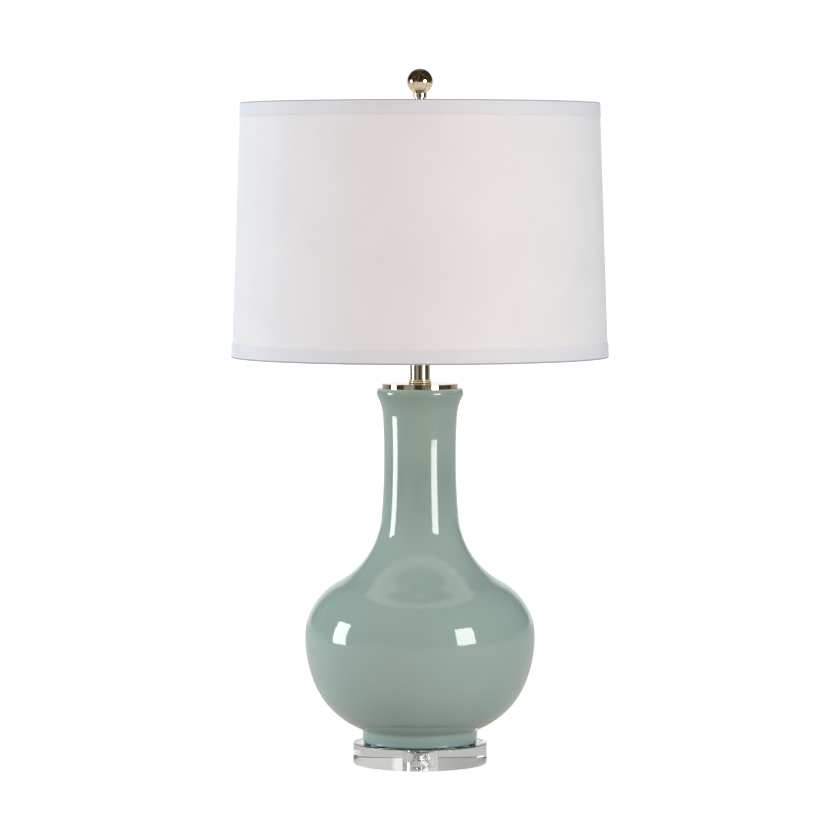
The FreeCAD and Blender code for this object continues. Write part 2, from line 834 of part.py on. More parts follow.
def harp_path():
    """Right half of the wire's centre line, from the foot up. Heights are above the saddle."""
    bend, side = S.harp_bend_radius, S.harp_side_radius
    half = S.harp_width / 2
    top = S.harp_height - S.seat_thickness - S.crown_thickness / 2
    turn = S.harp_side_turn
    lean = L.keep("harp_bend_cosine", 1 - (half - leg_offset) / (2 * bend))
    climb = L.keep("harp_bend_climb", bend * root(1 - square(lean)))
    shoulder = L.keep("harp_shoulder", half - side * (1 - cosine(turn)))
    corner = L.keep("harp_corner_radius", (shoulder - S.crown_radius) / cosine(turn))
    widest = L.keep("harp_widest", top - corner * (1 - sine(turn)) - side * sine(turn))
    start = L.keep("harp_wire_foot", S.shoe_gap + S.shoe_height - S.shoe_socket_depth)
    bend_start = L.keep("harp_bend_start", widest - 2 * climb)
    middle = (leg_offset + half) / 2
    return [
        Corner(leg_offset, start),
        Corner(leg_offset, bend_start),
        Corner(middle, bend_start + climb, (leg_offset + bend, bend_start), clockwise=True),
        Corner(half, widest, (half - bend, widest)),
        Corner(shoulder, widest + side * sine(turn), (half - side, widest)),
        Corner(S.crown_radius, top, (S.crown_radius, top - corner)),
    ]


def mirrored(corners):
    """The same path on the left, run the other way, without its first corner."""
    path = []
    for index in range(len(corners) - 1, 0, -1):
        leaving, reached = corners[index], corners[index - 1]
        if leaving.centre is None:
            path.append(Corner(-reached.across, reached.up))
        else:
            centre = (-leaving.centre.across, leaving.centre.up)
            path.append(Corner(-reached.across, reached.up, centre, leaving.clockwise))
    return path


def build_harp_wire():
    right = harp_path()
    body = new_body("harp_wire")
    path = new_sketch(body, "XZ_Plane", "centre_line")
    across_crown = Corner(-right[-1].across, right[-1].up)
    draw_path(path, right + [across_crown] + mirrored(right), closed=False)
    section = new_sketch(body, "XY_Plane", "section", offset=right[0].up)
    draw_circle(section, right[0].across, 0, S.harp_wire_radius)
    pipe(body, path, section)
    return place(body, up=saddle_top)


def build_harp_crown():
    """A disc with a cross hole, which the wire runs through under the stud."""
    thickness, edge = S.crown_thickness, S.crown_edge
    crown = turned("harp_crown", [
        Corner(0, 0),
        Corner(S.crown_radius - edge, 0),
        Corner(S.crown_radius, edge),
        Corner(S.crown_radius, thickness),
        Corner(0, thickness),
    ])
    hole = new_sketch(crown, "YZ_Plane", "wire_hole_shape")
    draw_circle(hole, 0, thickness / 2, S.harp_wire_radius + S.weld_gap)
    pocket(crown, hole, 3 * S.crown_radius, "wire_hole", both_ways=True)
    return place(crown, up=seat_top - S.seat_thickness - thickness)


def build_harp_stud():
    top = S.seat_thickness + S.stud_length
    stud = turned("harp_stud", [
        Corner(0, 0),
        Corner(S.seat_radius, 0),
        Corner(S.seat_radius, S.seat_thickness),
        Corner(S.stud_radius, S.seat_thickness),
        Corner(S.stud_radius, top - S.stud_edge),
        Corner(S.stud_radius - S.stud_edge, top),
        Corner(0, top),
    ])
    return place(stud, up=seat_top - S.seat_thickness)


def build_harp_shoe(name, side):
    """The end of a leg: a pin with a slot that straddles the saddle's tongue."""
    slot_top = S.tongue_height - S.shoe_gap + 2 * S.sliding_clearance
    slot = S.saddle_thickness / 2 + S.sliding_clearance
    shoe = turned(name, [
        Corner(0, 0),
        Corner(S.shoe_radius, 0),
        Corner(S.shoe_radius, S.shoe_height),
        Corner(S.harp_wire_radius + S.weld_gap, S.shoe_height),
        Corner(S.harp_wire_radius + S.weld_gap, S.shoe_height - S.shoe_socket_depth),
        Corner(0, S.shoe_height - S.shoe_socket_depth),
    ])
    shape = new_sketch(shoe, "XZ_Plane", "slot_shape")
    draw_path(shape, box_corners(-slot, slot, -S.shoe_gap, slot_top))
    pocket(shoe, shape, 4 * S.shoe_radius, "slot", both_ways=True)
    return place(shoe, across=leg_offset * side, up=saddle_top + S.shoe_gap)


def build_harp_sleeve(name, side):
    """A loose sleeve that locks the leg to the saddle."""
    bore = S.shoe_radius + S.sliding_clearance
    sleeve = turned(name, box_corners(bore, bore + S.sleeve_wall, 0, S.sleeve_length))
    return place(sleeve, across=leg_offset * side, up=saddle_top + S.sleeve_gap)


# ---------------------------------------------------------------- lamp holder

switch_axis = L.keep("switch_axis", S.core_bottom + S.switch_height)
core_radius = L.keep("core_radius",
                     S.shell_radius - S.shell_sheet - S.insulator_wall - S.core_clearance)
core_top = L.keep("core_top", S.core_bottom + S.core_height)


def build_socket_cap():
    """The holder's metal cup, with a hub that screws on to the pipe."""
    sheet, radius, bend = S.holder_cap_sheet, S.holder_cap_radius, S.holder_cap_bend
    floor = S.hub_height
    cup = turned("socket_cap", [
        Corner(rod_hole_radius, 0),
        Corner(S.hub_radius, 0),
        Corner(S.hub_radius, floor - sheet),
        Corner(radius - bend, floor - sheet),
        Corner(radius, floor - sheet + bend, (radius - bend, floor - sheet + bend)),
        Corner(radius, S.holder_cap_height),
        Corner(radius - sheet, S.holder_cap_height),
        Corner(radius - sheet, floor - sheet + bend),
        Corner(radius - bend, floor, (radius - bend, floor - sheet + bend), clockwise=True),
        Corner(rod_hole_radius, floor),
    ])
    hole = new_sketch(cup, "YZ_Plane", "set_screw_hole_shape")
    draw_circle(hole, 0, S.set_screw_height, S.set_screw_radius + S.weld_gap)
    pocket(cup, hole, S.holder_cap_radius, "set_screw_hole", reversed_cut=True)
    return place(cup, up=saddle_top)


def build_slotted_pin(name, radius, length):
    """A headless screw: a pin with a slot across its outer end."""
    pin = cylinder(f"{name}_pin", radius, length)
    slot = block(f"{name}_slot", 4 * radius, S.screw_slot_width, S.screw_slot_depth,
                 across=-2 * radius, back=-S.screw_slot_width / 2, up=length - S.screw_slot_depth)
    return cut(name, pin, slot)


def build_set_screw():
    screw = build_slotted_pin("socket_set_screw", S.set_screw_radius, S.set_screw_length)
    return place(screw, across=rod_hole_radius, up=saddle_top + S.set_screw_height, turn=UP_TO_RIGHT)


def slotted_for_switch(body, bottom, length):
    """Cuts the open-ended slot that the switch shaft passes through, in the front."""
    half = S.switch_slot_half_width
    shape = new_sketch(body, "XZ_Plane", "switch_slot_shape")
    draw_path(shape, [
        Corner(-half, bottom - half),
        Corner(half, bottom - half),
        Corner(half, switch_axis),
        Corner(-half, switch_axis, (0, switch_axis)),
    ])
    pocket(body, shape, length, "switch_slot", reversed_cut=True)


def build_socket_shell():
    outer, inner = S.shell_radius, S.shell_radius - S.shell_sheet
    bead, top = S.shell_bead, S.shell_top
    shell = turned("socket_shell", [
        Corner(inner, S.shell_bottom),
        Corner(outer, S.shell_bottom),
        Corner(outer, top - 2 * bead),
        Corner(outer, top, (outer, top - bead)),
        Corner(inner, top),
    ])
    slotted_for_switch(shell, S.shell_bottom, 2 * S.shell_radius)
    return place(shell, up=saddle_top)


def build_socket_insulator():
    """A paper sleeve between the live parts and the shell."""
    outer = S.shell_radius - S.shell_sheet - S.insulator_clearance
    bottom, top = S.shell_bottom + S.insulator_inset, S.shell_top - S.insulator_inset
    sleeve = turned("socket_insulator", box_corners(outer - S.insulator_wall, outer, bottom, top))
    slotted_for_switch(sleeve, bottom, 2 * S.shell_radius)
    return place(sleeve, up=saddle_top)


def build_socket_interior():
    """The moulded core: flats for the two terminals and a bore for the switch shaft."""
    core = cylinder("socket_core", core_radius, S.core_height)
    tools = []
    for side, word in ((-1, "left"), (1, "right")):
        start = S.core_flat if side > 0 else -S.core_flat - core_radius
        tools.append(block(f"socket_{word}_flat", core_radius, 2 * core_radius, S.core_height,
                           across=start, back=-core_radius))
        depth = S.terminal_shank_length + S.weld_gap
        tools.append(cylinder(f"socket_{word}_hole", S.terminal_shank_radius + S.weld_gap, depth,
                              across=(S.core_flat - depth if side > 0 else -S.core_flat),
                              up=S.terminal_height, turn=UP_TO_RIGHT))
    tools.append(cylinder("socket_shaft_bore", S.switch_shaft_radius + S.turning_clearance,
                          core_radius, back=-S.switch_shaft_root + S.turning_clearance,
                          up=S.switch_height, turn=UP_TO_FRONT))
    return place(cut("socket_interior", core, *tools), up=saddle_top + S.core_bottom)


def build_terminal_screws():
    screws = []
    for side, word, turn in ((-1, "left", UP_TO_LEFT), (1, "right", UP_TO_RIGHT)):
        name = f"terminal_screw_{word}"
        head = build_slotted_pin(f"{name}_head", S.terminal_head_radius, S.terminal_head_height)
        shank = cylinder(f"{name}_shank", S.terminal_shank_radius, S.terminal_shank_length,
                         up=-S.terminal_shank_length)
        screw = doc.addObject("Part::Fuse", name)
        screw.Base = head
        screw.Tool = shank
        screws.append(place(screw, across=S.core_flat * side,
                            up=saddle_top + S.core_bottom + S.terminal_height, turn=turn))
    return group("terminal_screws", screws)


def build_socket_screw_shell():
    sheet, radius = S.screw_shell_sheet, S.screw_shell_radius
    shell = turned("socket_screw_shell", [
        Corner(S.contact_hole_radius, 0),
        Corner(radius, 0),
        Corner(radius, S.screw_shell_height),
        Corner(radius - sheet, S.screw_shell_height),
        Corner(radius - sheet, sheet),
        Corner(S.contact_hole_radius, sheet),
    ])
    return place(shell, up=saddle_top + core_top)


def build_socket_contact():
    """A brass tongue that springs up to the bulb's tip."""
    sheet, rise = S.contact_sheet, S.contact_rise
    left, right = -S.contact_length * 2 / 3, S.contact_length / 3
    bend = left + S.contact_length / 2
    contact = new_body("socket_contact")
    shape = new_sketch(contact, "XZ_Plane", "tongue_shape")
    draw_path(shape, [
        Corner(left, 0),
        Corner(bend, 0),
        Corner(right, rise),
        Corner(right, rise + sheet),
        Corner(bend, sheet),
        Corner(left, sheet),
    ])
    pad(contact, shape, S.contact_width, both_ways=True)
    return place(contact, up=saddle_top + core_top)


# ---------------------------------------------------------------- switch

def build_switch_shaft():
    length = S.knob_reach - S.knob_length + S.knob_bore_depth - S.switch_shaft_root
    shaft = cylinder("switch_shaft", S.switch_shaft_radius, length,
                     back=-S.switch_shaft_root, up=saddle_top + switch_axis, turn=UP_TO_FRONT)
    shaft.Label = "switch_shaft"
    return shaft


def build_switch_knob():
    """A fluted knob, drawn from its inner face outwards."""
    edge, length = S.knob_edge, S.knob_length
    knob = turned("switch_knob", [
        Corner(S.switch_shaft_radius, 0),
        Corner(S.knob_radius - edge, 0),
        Corner(S.knob_radius, edge),
        Corner(S.knob_radius, length - edge),
        Corner(S.knob_radius - edge, length),
        Corner(0, length),
        Corner(0, S.knob_bore_depth),
        Corner(S.switch_shaft_radius, S.knob_bore_depth),
    ])
    flute = new_sketch(knob, "XY_Plane", "flute_shape")
    draw_circle(flute, S.knob_radius + S.knob_flute_radius / 2, 0, S.knob_flute_radius)
    groove = pocket(knob, flute, length, "flute", reversed_cut=True)
    polar_pattern(knob, groove, S.knob_flutes)
    return place(knob, back=S.knob_length - S.knob_reach, up=saddle_top + switch_axis, turn=UP_TO_FRONT)


# ---------------------------------------------------------------- bulb

bulb_tip = L.keep("bulb_tip", saddle_top + core_top + S.contact_rise + S.contact_sheet + S.turning_clearance)
bulb_base_bottom = L.keep("bulb_base_bottom", bulb_tip + S.bulb_tip_height + S.bulb_insulator_height)


def build_bulb_contact():
    tip, height = S.bulb_tip_radius, S.bulb_tip_height
    contact = turned("bulb_contact", [
        Corner(0, 0),
        Corner(tip - height, 0),
        Corner(tip, height),
        Corner(0, height),
    ])
    return place(contact, up=bulb_tip)


def build_bulb_insulator():
    insulator = turned("bulb_insulator", [
        Corner(0, 0),
        Corner(S.bulb_insulator_radius, 0),
        Corner(S.bulb_base_radius - S.bulb_base_taper, S.bulb_insulator_height),
        Corner(0, S.bulb_insulator_height),
    ])
    return place(insulator, up=bulb_tip + S.bulb_tip_height)


def build_bulb_base():
    radius, sheet, taper = S.bulb_base_radius, S.bulb_base_sheet, S.bulb_base_taper
    base = turned("bulb_base", [
        Corner(radius - taper - sheet, 0),
        Corner(radius - taper, 0),
        Corner(radius, taper),
        Corner(radius, S.bulb_base_height),
        Corner(radius - sheet, S.bulb_base_height),
        Corner(radius - sheet, taper),
    ])
    return place(base, up=bulb_base_bottom)


def build_bulb_glass():
    """The glass envelope: a straight neck, a flare and a ball, tangent to one another."""
    glass, ball, flare = S.bulb_glass, S.bulb_radius, S.bulb_flare_radius
    neck, straight = S.bulb_neck_radius, S.bulb_neck_height
    flare_across = neck + flare
    centre = L.keep("bulb_centre", straight + root(square(ball + flare) - square(flare_across)))

    def tangent_point(radius):
        return (flare_across * radius / (ball + flare),
                centre - (centre - straight) * radius / (ball + flare))

    outer_join, inner_join = tangent_point(ball), tangent_point(ball - glass)
    flare_centre, ball_centre = (flare_across, straight), (0, centre)
    envelope = turned("bulb_glass", [
        Corner(neck - glass, 0),
        Corner(neck, 0),
        Corner(neck, straight),
        Corner(outer_join[0], outer_join[1], flare_centre, clockwise=True),
        Corner(0, centre + ball, ball_centre),
        Corner(0, centre + ball - glass),
        Corner(inner_join[0], inner_join[1], ball_centre, clockwise=True),
        Corner(neck - glass, straight, flare_centre),
    ])
    return place(envelope, up=bulb_base_bottom + S.bulb_base_height - S.bulb_neck_in_base)


# ---------------------------------------------------------------- shade

def shade_radius(height, inset):
    """Radius of the slanted wall at a height above the shade's bottom, less an inset."""
    return S.shade_bottom_radius - S.shade_taper * height / S.shade_height - inset


fabric_inset = L.keep("fabric_inset", S.trim_thickness + S.trim_glue)
liner_inset = L.keep("liner_inset", fabric_inset + S.fabric_thickness)
inside_inset = L.keep("inside_inset", liner_inset + S.liner_thickness)
ring_inset = L.keep("ring_inset", inside_inset + S.ring_wire_radius + S.weld_gap)
ring_bottom_height = L.keep("ring_bottom_height", fabric_inset + S.ring_wire_radius)
ring_top_height = L.keep("ring_top_height", S.shade_height - ring_bottom_height)
ring_top_radius = L.keep("ring_top_radius", shade_radius(ring_top_height, ring_inset))
ring_bottom_radius = L.keep("ring_bottom_radius", shade_radius(ring_bottom_height, ring_inset))


def build_shade_wall(name, outer_inset, inner_inset):
    """A slanted skin between the folds of the two trims."""
    low = fabric_inset
    high = S.shade_height - fabric_inset
    wall = turned(name, [
        Corner(shade_radius(low, inner_inset), low),
        Corner(shade_radius(low, outer_inset), low),
        Corner(shade_radius(high, outer_inset), high),
        Corner(shade_radius(high, inner_inset), high),
    ])
    return place(wall, up=shade_bottom)


def build_shade_trim(name, rim, away):
    """A band of the fabric outside the wall, folded in over the rim and its wire."""
    fold = rim + S.trim_thickness * away
    end = rim + S.trim_height * away
    inner = inside_inset + 2 * S.ring_wire_radius
    band = turned(name, [
        Corner(shade_radius(rim, inner), rim),
        Corner(shade_radius(rim, 0), rim),
        Corner(shade_radius(end, 0), end),
        Corner(shade_radius(end, S.trim_thickness), end),
        Corner(shade_radius(fold, S.trim_thickness), fold),
        Corner(shade_radius(fold, inner), fold),
    ])
    return place(band, up=shade_bottom)


def build_shade_ring(name, radius, height):
    ring = primitive("Torus", name, Radius1=radius, Radius2=S.ring_wire_radius)
    ring.Label = name
    return place(ring, up=shade_bottom + height)


def build_shade_spider():
    """A washer and wire arms that run out and bend up to the top ring."""
    thickness, turn, bend = S.spider_washer_thickness, S.spider_arm_turn, S.spider_arm_bend
    level = thickness - S.ring_wire_radius
    spider = turned("shade_spider",
                    box_corners(S.spider_hole_radius, S.spider_washer_radius, 0, thickness))
    reach = S.ring_wire_radius + S.weld_gap
    ring_up = shade_bottom + ring_top_height - washer_bottom
    end_across = L.keep("arm_end_across", ring_top_radius - reach * cosine(turn))
    end_up = L.keep("arm_end_up", ring_up - reach * sine(turn))
    bend_up = L.keep("arm_bend_up", level + bend * (1 - cosine(turn)))
    bend_across = L.keep("arm_bend_across", end_across - (end_up - bend_up) * cosine(turn) / sine(turn))
    flat_end = L.keep("arm_flat_end", bend_across - bend * sine(turn))
    start = L.keep("arm_start", S.spider_washer_radius - S.spider_arm_overlap)
    path = new_sketch(spider, "XZ_Plane", "arm_line")
    draw_path(path, [
        Corner(start, level),
        Corner(flat_end, level),
        Corner(bend_across, bend_up, (flat_end, level + bend)),
        Corner(end_across, end_up),
    ], closed=False)
    section = new_sketch(spider, "YZ_Plane", "arm_section", offset=start)
    draw_circle(section, 0, level, S.ring_wire_radius)
    arm = pipe(spider, path, section, "arm")
    polar_pattern(spider, arm, S.spider_arms)
    return place(spider, up=washer_bottom, turn=Rotation(Vector(0, 0, 1), 90))


# ---------------------------------------------------------------- finial

def build_finial_base():
    """The stem: a foot, a narrow waist and a cup that carries the ball."""
    bore = S.stud_radius + S.finial_bore_clearance
    depth = S.stud_length - 2 * S.turning_clearance - S.spider_washer_thickness + S.finial_bore_spare
    cup_bottom = S.finial_stem_height - S.finial_cup_height
    rim, waist = S.finial_base_rim, S.finial_waist_radius
    edge, cup = S.finial_cup_edge, S.finial_cup_radius
    # The cove runs from the foot's rim up to the waist, upright where it ends.
    run = S.finial_base_radius - edge - waist
    rise = S.finial_waist_height - rim - edge
    cove = L.keep("finial_cove_radius", (square(run) + square(rise)) / (2 * run))
    stem = turned("finial_base", [
        Corner(bore, 0),
        Corner(S.finial_base_radius, 0),
        Corner(S.finial_base_radius, rim),
        Corner(S.finial_base_radius - edge, rim + edge),
        Corner(waist, S.finial_waist_height, (waist + cove, S.finial_waist_height), clockwise=True),
        Corner(waist, cup_bottom),
        Corner(cup - edge, cup_bottom),
        Corner(cup, cup_bottom + edge),
        Corner(cup, S.finial_stem_height - edge),
        Corner(cup - edge, S.finial_stem_height),
        Corner(0, S.finial_stem_height),
        Corner(0, depth),
        Corner(bore, depth),
    ])
    return place(stem, up=finial_bottom)


def build_finial_ball():
    """A ball with a flat under it, as wide as the cup's seat."""
    radius = S.finial_ball_radius
    seat = S.finial_seat_radius
    drop = L.keep("finial_ball_drop", root(square(radius) - square(seat)))
    ball = turned("finial_ball", [
        Corner(0, 0),
        Corner(seat, 0),
        Corner(0, drop + radius, (0, drop)),
    ])
    return place(ball, up=finial_bottom + S.finial_stem_height)


# ---------------------------------------------------------------- the lamp

nodes = [
    build_bumper_pads(),
    build_crystal_base(),
    build_ring("base_washer", rod_hole_radius, S.washer_radius, S.washer_thickness, lock_washer_top),
    build_base_lock_washer(),
    build_hex_nut("base_nut", base_nut_bottom),
    build_threaded_rod(),
    build_ring("foot_gasket", S.gasket_radius - S.gasket_width, S.gasket_radius,
               S.gasket_thickness, base_top),
    build_ceramic_body(),
    build_cord_bushing(),
    build_vase_cap(),
    build_neck_collar(),
    build_ring("neck_tube", S.tube_radius - S.tube_wall, S.tube_radius, S.tube_length, cap_top),
    build_neck_top_cap(),
    build_hex_nut("neck_lock_nut", neck_nut_bottom),
    build_harp_saddle(),
    build_harp_wire(),
    build_harp_crown(),
    build_harp_stud(),
    build_harp_shoe("harp_shoe_left", -1),
    build_harp_shoe("harp_shoe_right", 1),
    build_harp_sleeve("harp_sleeve_left", -1),
    build_harp_sleeve("harp_sleeve_right", 1),
    build_socket_cap(),
    build_set_screw(),
    build_socket_shell(),
    build_socket_insulator(),
    build_socket_interior(),
    build_terminal_screws(),
    build_socket_screw_shell(),
    build_socket_contact(),
    build_switch_shaft(),
    build_switch_knob(),
    build_bulb_contact(),
    build_bulb_insulator(),
    build_bulb_base(),
    build_bulb_glass(),
    build_shade_wall("shade_fabric", fabric_inset, liner_inset),
    build_shade_wall("shade_liner", liner_inset, inside_inset),
    build_shade_trim("shade_trim_bottom", as_size(0), 1),
    build_shade_trim("shade_trim_top", S.shade_height, -1),
    build_shade_ring("shade_ring_bottom", ring_bottom_radius, ring_bottom_height),
    build_shade_ring("shade_ring_top", ring_top_radius, ring_top_height),
    build_shade_spider(),
    build_finial_base(),
    build_finial_ball(),
]

doc.recompute()
for thing in doc.Objects:
    if "Invalid" in thing.State or "Error" in thing.State:
        raise RuntimeError(f"{thing.Name} did not build: {thing.State}")
for node in nodes:
    if node.Shape.isNull() or not node.Shape.isValid() or not node.Shape.Solids:
        raise RuntimeError(f"{node.Label} has no sound solid")

os.makedirs("parts", exist_ok=True)
for node in nodes:
    node.Shape.exportStep(f"parts/{node.Label}.step")
    print(f"{node.Label}: {len(node.Shape.Solids)} solid(s), {node.Shape.Volume:.1f} mm3")
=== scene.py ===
import json
import math

import bpy
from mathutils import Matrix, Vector, noise


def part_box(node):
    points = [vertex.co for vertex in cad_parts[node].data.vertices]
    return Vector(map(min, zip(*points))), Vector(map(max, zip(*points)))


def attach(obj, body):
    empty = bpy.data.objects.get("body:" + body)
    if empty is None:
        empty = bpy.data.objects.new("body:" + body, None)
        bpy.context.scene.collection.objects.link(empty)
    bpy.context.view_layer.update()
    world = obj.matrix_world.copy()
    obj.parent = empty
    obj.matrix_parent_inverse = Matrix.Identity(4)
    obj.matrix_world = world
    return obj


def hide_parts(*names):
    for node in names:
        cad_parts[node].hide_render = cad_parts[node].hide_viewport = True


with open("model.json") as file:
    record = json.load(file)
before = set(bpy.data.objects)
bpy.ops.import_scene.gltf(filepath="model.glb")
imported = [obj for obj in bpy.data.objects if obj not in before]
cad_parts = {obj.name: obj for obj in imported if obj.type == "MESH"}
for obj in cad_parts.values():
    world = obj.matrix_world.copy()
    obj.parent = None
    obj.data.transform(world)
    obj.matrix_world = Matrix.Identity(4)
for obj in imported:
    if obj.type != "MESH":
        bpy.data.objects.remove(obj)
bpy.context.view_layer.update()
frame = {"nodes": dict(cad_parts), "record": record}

# A bottle-shaped ceramic table lamp. Metres, +Z up, -Y towards the viewer.

MM = 0.001
TURN = 2 * math.pi

# Camera, as fitted to the shade's ellipses and the lamp's outlines
CAMERA_BACK = 4.6719
CAMERA_HEIGHT = 0.659
CAMERA_TILT = 3.237
FOCAL_PIXELS = 4093
PICTURE_PIXELS = 840
SENSOR_WIDTH = 36.0

# Cloth
THREAD_PITCH = 0.42 * MM
CLOTH_THICKNESS = 0.45 * MM
SEAM_ANGLE = math.radians(90)
LAP = 12 * MM
COLUMNS = 288
# Width of the painted highlight along a trim's cut end
HEM_HIGHLIGHT_WIDTH = 0.9 * MM
TRIM_FOLD = 15.5 * MM
FOLD_ROUNDING = 1.0 * MM

# Painted shade: how much darker the glaze is painted on the neck, in the lamp shade's shadow
NECK_PAINTED_SHADE = 0.38

# Screw threads
PIPE_PITCH = 0.94 * MM
PIPE_DEPTH = 0.42 * MM
BULB_PITCH = 3.63 * MM
BULB_DEPTH = 0.75 * MM


# ---------------------------------------------------------------- finishes

class Finish:
    """A material under construction, whose nodes are added by short calls."""

    def __init__(self, name, constants):
        self.material = bpy.data.materials.new(name)
        self.material.use_nodes = True
        self.tree = self.material.node_tree
        self.shader = self.tree.nodes["Principled BSDF"]
        self.place = self.add("TexCoord")
        for socket, value in constants.items():
            self.shader.inputs[socket].default_value = value

    def add(self, kind, inputs=None, **settings):
        node = self.tree.nodes.new("ShaderNode" + kind)
        for field, value in settings.items():
            setattr(node, field, value)
        for socket, value in (inputs or {}).items():
            self.give(node.inputs[socket], value)
        return node

    def give(self, socket, value):
        if isinstance(value, bpy.types.NodeSocket):
            self.tree.links.new(value, socket)
        else:
            socket.default_value = value

    def drive(self, socket, value):
        self.give(self.shader.inputs[socket], value)

    def math(self, operation, first, second=0.0, third=0.0):
        return self.add("Math", {0: first, 1: second, 2: third}, operation=operation).outputs[0]

    def stretched(self, source, scale):
        """The object's own or its cloth coordinates, scaled along each axis."""
        return self.add("Mapping", {"Vector": self.place.outputs[source], "Scale": scale}).outputs[0]

    def clouds(self, vector, scale, detail=3.0, roughness=0.5):
        inputs = {"Vector": vector, "Scale": scale, "Detail": detail, "Roughness": roughness}
        return self.add("TexNoise", inputs).outputs["Fac"]

    def between(self, value, low, high, out_low=0.0, out_high=1.0):
        inputs = {"Value": value, "From Min": low, "From Max": high, "To Min": out_low, "To Max": out_high}
        return self.add("MapRange", inputs, interpolation_type="SMOOTHSTEP").outputs["Result"]

    def blend(self, share, first, second, kind="MIX"):
        node = self.add("Mix", data_type="RGBA", blend_type=kind)
        self.give(node.inputs[0], share)
        self.give(node.inputs[6], first)
        self.give(node.inputs[7], second)
        return node.outputs[2]

    def bump(self, height, distance, strength=1.0, under=None):
        inputs = {"Height": height, "Distance": distance, "Strength": strength}
        if under is not None:
            inputs["Normal"] = under
        return self.add("Bump", inputs).outputs["Normal"]

    def height_axis(self):
        return self.add("SeparateXYZ", {0: self.place.outputs["Object"]}).outputs["Z"]


def rgb(red, green, blue):
    return (red, green, blue, 1.0)


def glaze():
    """Celadon glaze, paler in a thin band at the foot's bottom edge and at the lip's top. Painted shade
    darkens the neck, a painted bluish cast at the foot stands for light thrown up from the floor and disc,
    and the bluish drift is weighted to the left as painted light.
    """
    low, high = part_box("ceramic_body")
    finish = Finish("celadon_glaze", {"IOR": 1.56})
    place = finish.place.outputs["Object"]
    clouds = finish.clouds(place, 9.0, 4.0, 0.55)
    tone = finish.blend(clouds, rgb(0.282, 0.384, 0.337), rgb(0.324, 0.421, 0.374))
    height = finish.height_axis()
    # Paler in a thin band at the foot's bottom edge and at the lip's top edge.
    pale_foot_edge = finish.between(height, low.z + 0.4 * MM, low.z + 2.4 * MM, 0.75, 0.0)
    tone = finish.blend(pale_foot_edge, tone, rgb(0.60, 0.66, 0.60))
    pale_lip_edge = finish.between(height, high.z - 1.6 * MM, high.z - 0.2 * MM, 0.0, 0.5)
    tone = finish.blend(pale_lip_edge, tone, rgb(0.58, 0.64, 0.55))
    specks = finish.between(finish.clouds(place, 900.0, 2.0, 0.6), 0.70, 0.78, 0.0, 0.22)
    tone = finish.blend(specks, tone, rgb(0.20, 0.24, 0.20))
    # Painted shade: the neck, under the lamp shade, is painted darker.
    neck_shade = finish.between(height, low.z + 0.22, low.z + 0.31, 0.0, NECK_PAINTED_SHADE)
    tone = finish.blend(neck_shade, tone, rgb(0.16, 0.235, 0.205))
    drift = finish.clouds(finish.stretched("Object", (7, 7, 3.5)), 1.0, 3.0, 0.55)
    # The bluish drift is the glaze's own; weighting it towards the left is painted light, leaving the left
    # bluer and the right warmer, as the two soft boxes light them.
    across = finish.add("SeparateXYZ", {0: place}).outputs["X"]
    side_light_weight = finish.between(across, -0.04, 0.06, 0.30, 0.06)
    drift_and_side_light_share = finish.math("MULTIPLY", finish.between(drift, 0.42, 0.62), side_light_weight)
    tone = finish.blend(drift_and_side_light_share, tone, rgb(0.250, 0.385, 0.365))
    # Painted light: the foot is painted bluer, for the light thrown up onto it from the white floor and the
    # disc.
    foot_bounce_fade = finish.between(height, low.z + 5 * MM, low.z + 12 * MM)
    tone = finish.blend(foot_bounce_fade, rgb(0.225, 0.372, 0.362), tone)
    finish.drive("Base Color", tone)
    turning_marks = finish.clouds(finish.stretched("Object", (4, 4, 90)), 1.0, 2.0)
    peel = finish.clouds(place, 160.0, 2.0)
    normal = finish.bump(turning_marks, 0.10 * MM)
    normal = finish.bump(peel, 0.010 * MM, under=normal)
    finish.drive("Normal", normal)
    finish.drive("Roughness", finish.between(clouds, 0.2, 0.8, 0.035, 0.06))
    return finish.material


def polished_metal(name, tone, dull=0.05, wear=0.03):
    """Polished plate with a faint haze that varies over it."""
    finish = Finish(name, {"Metallic": 1.0})
    place = finish.place.outputs["Object"]
    haze = finish.clouds(place, 60.0, 4.0, 0.6)
    finish.drive("Roughness", finish.between(haze, 0.35, 0.75, dull, dull + wear))
    dark = tuple(0.93 * part for part in tone)
    finish.drive("Base Color", finish.blend(haze, rgb(*tone), rgb(*dark)))
    turning = finish.clouds(finish.stretched("Object", (30, 30, 5000)), 1.0, 2.0)
    finish.drive("Normal", finish.bump(turning, 0.001 * MM))
    return finish.material


def plated_steel(name, tone, dull):
    finish = Finish(name, {"Metallic": 1.0})
    place = finish.place.outputs["Object"]
    grains = finish.clouds(place, 900.0, 3.0, 0.6)
    finish.drive("Base Color", finish.blend(grains, rgb(*tone), rgb(*(0.82 * part for part in tone))))
    finish.drive("Roughness", finish.between(grains, 0.3, 0.7, dull, dull + 0.14))
    finish.drive("Normal", finish.bump(grains, 0.02 * MM))
    return finish.material


def crystal():
    finish = Finish("crystal", {
        "Base Color": rgb(0.985, 0.99, 0.985), "Transmission Weight": 1.0, "IOR": 1.49})
    scuffs = finish.clouds(finish.stretched("Object", (90, 90, 90)), 1.0, 5.0, 0.7)
    finish.drive("Roughness", finish.between(scuffs, 0.55, 0.85, 0.0, 0.02))
    return finish.material


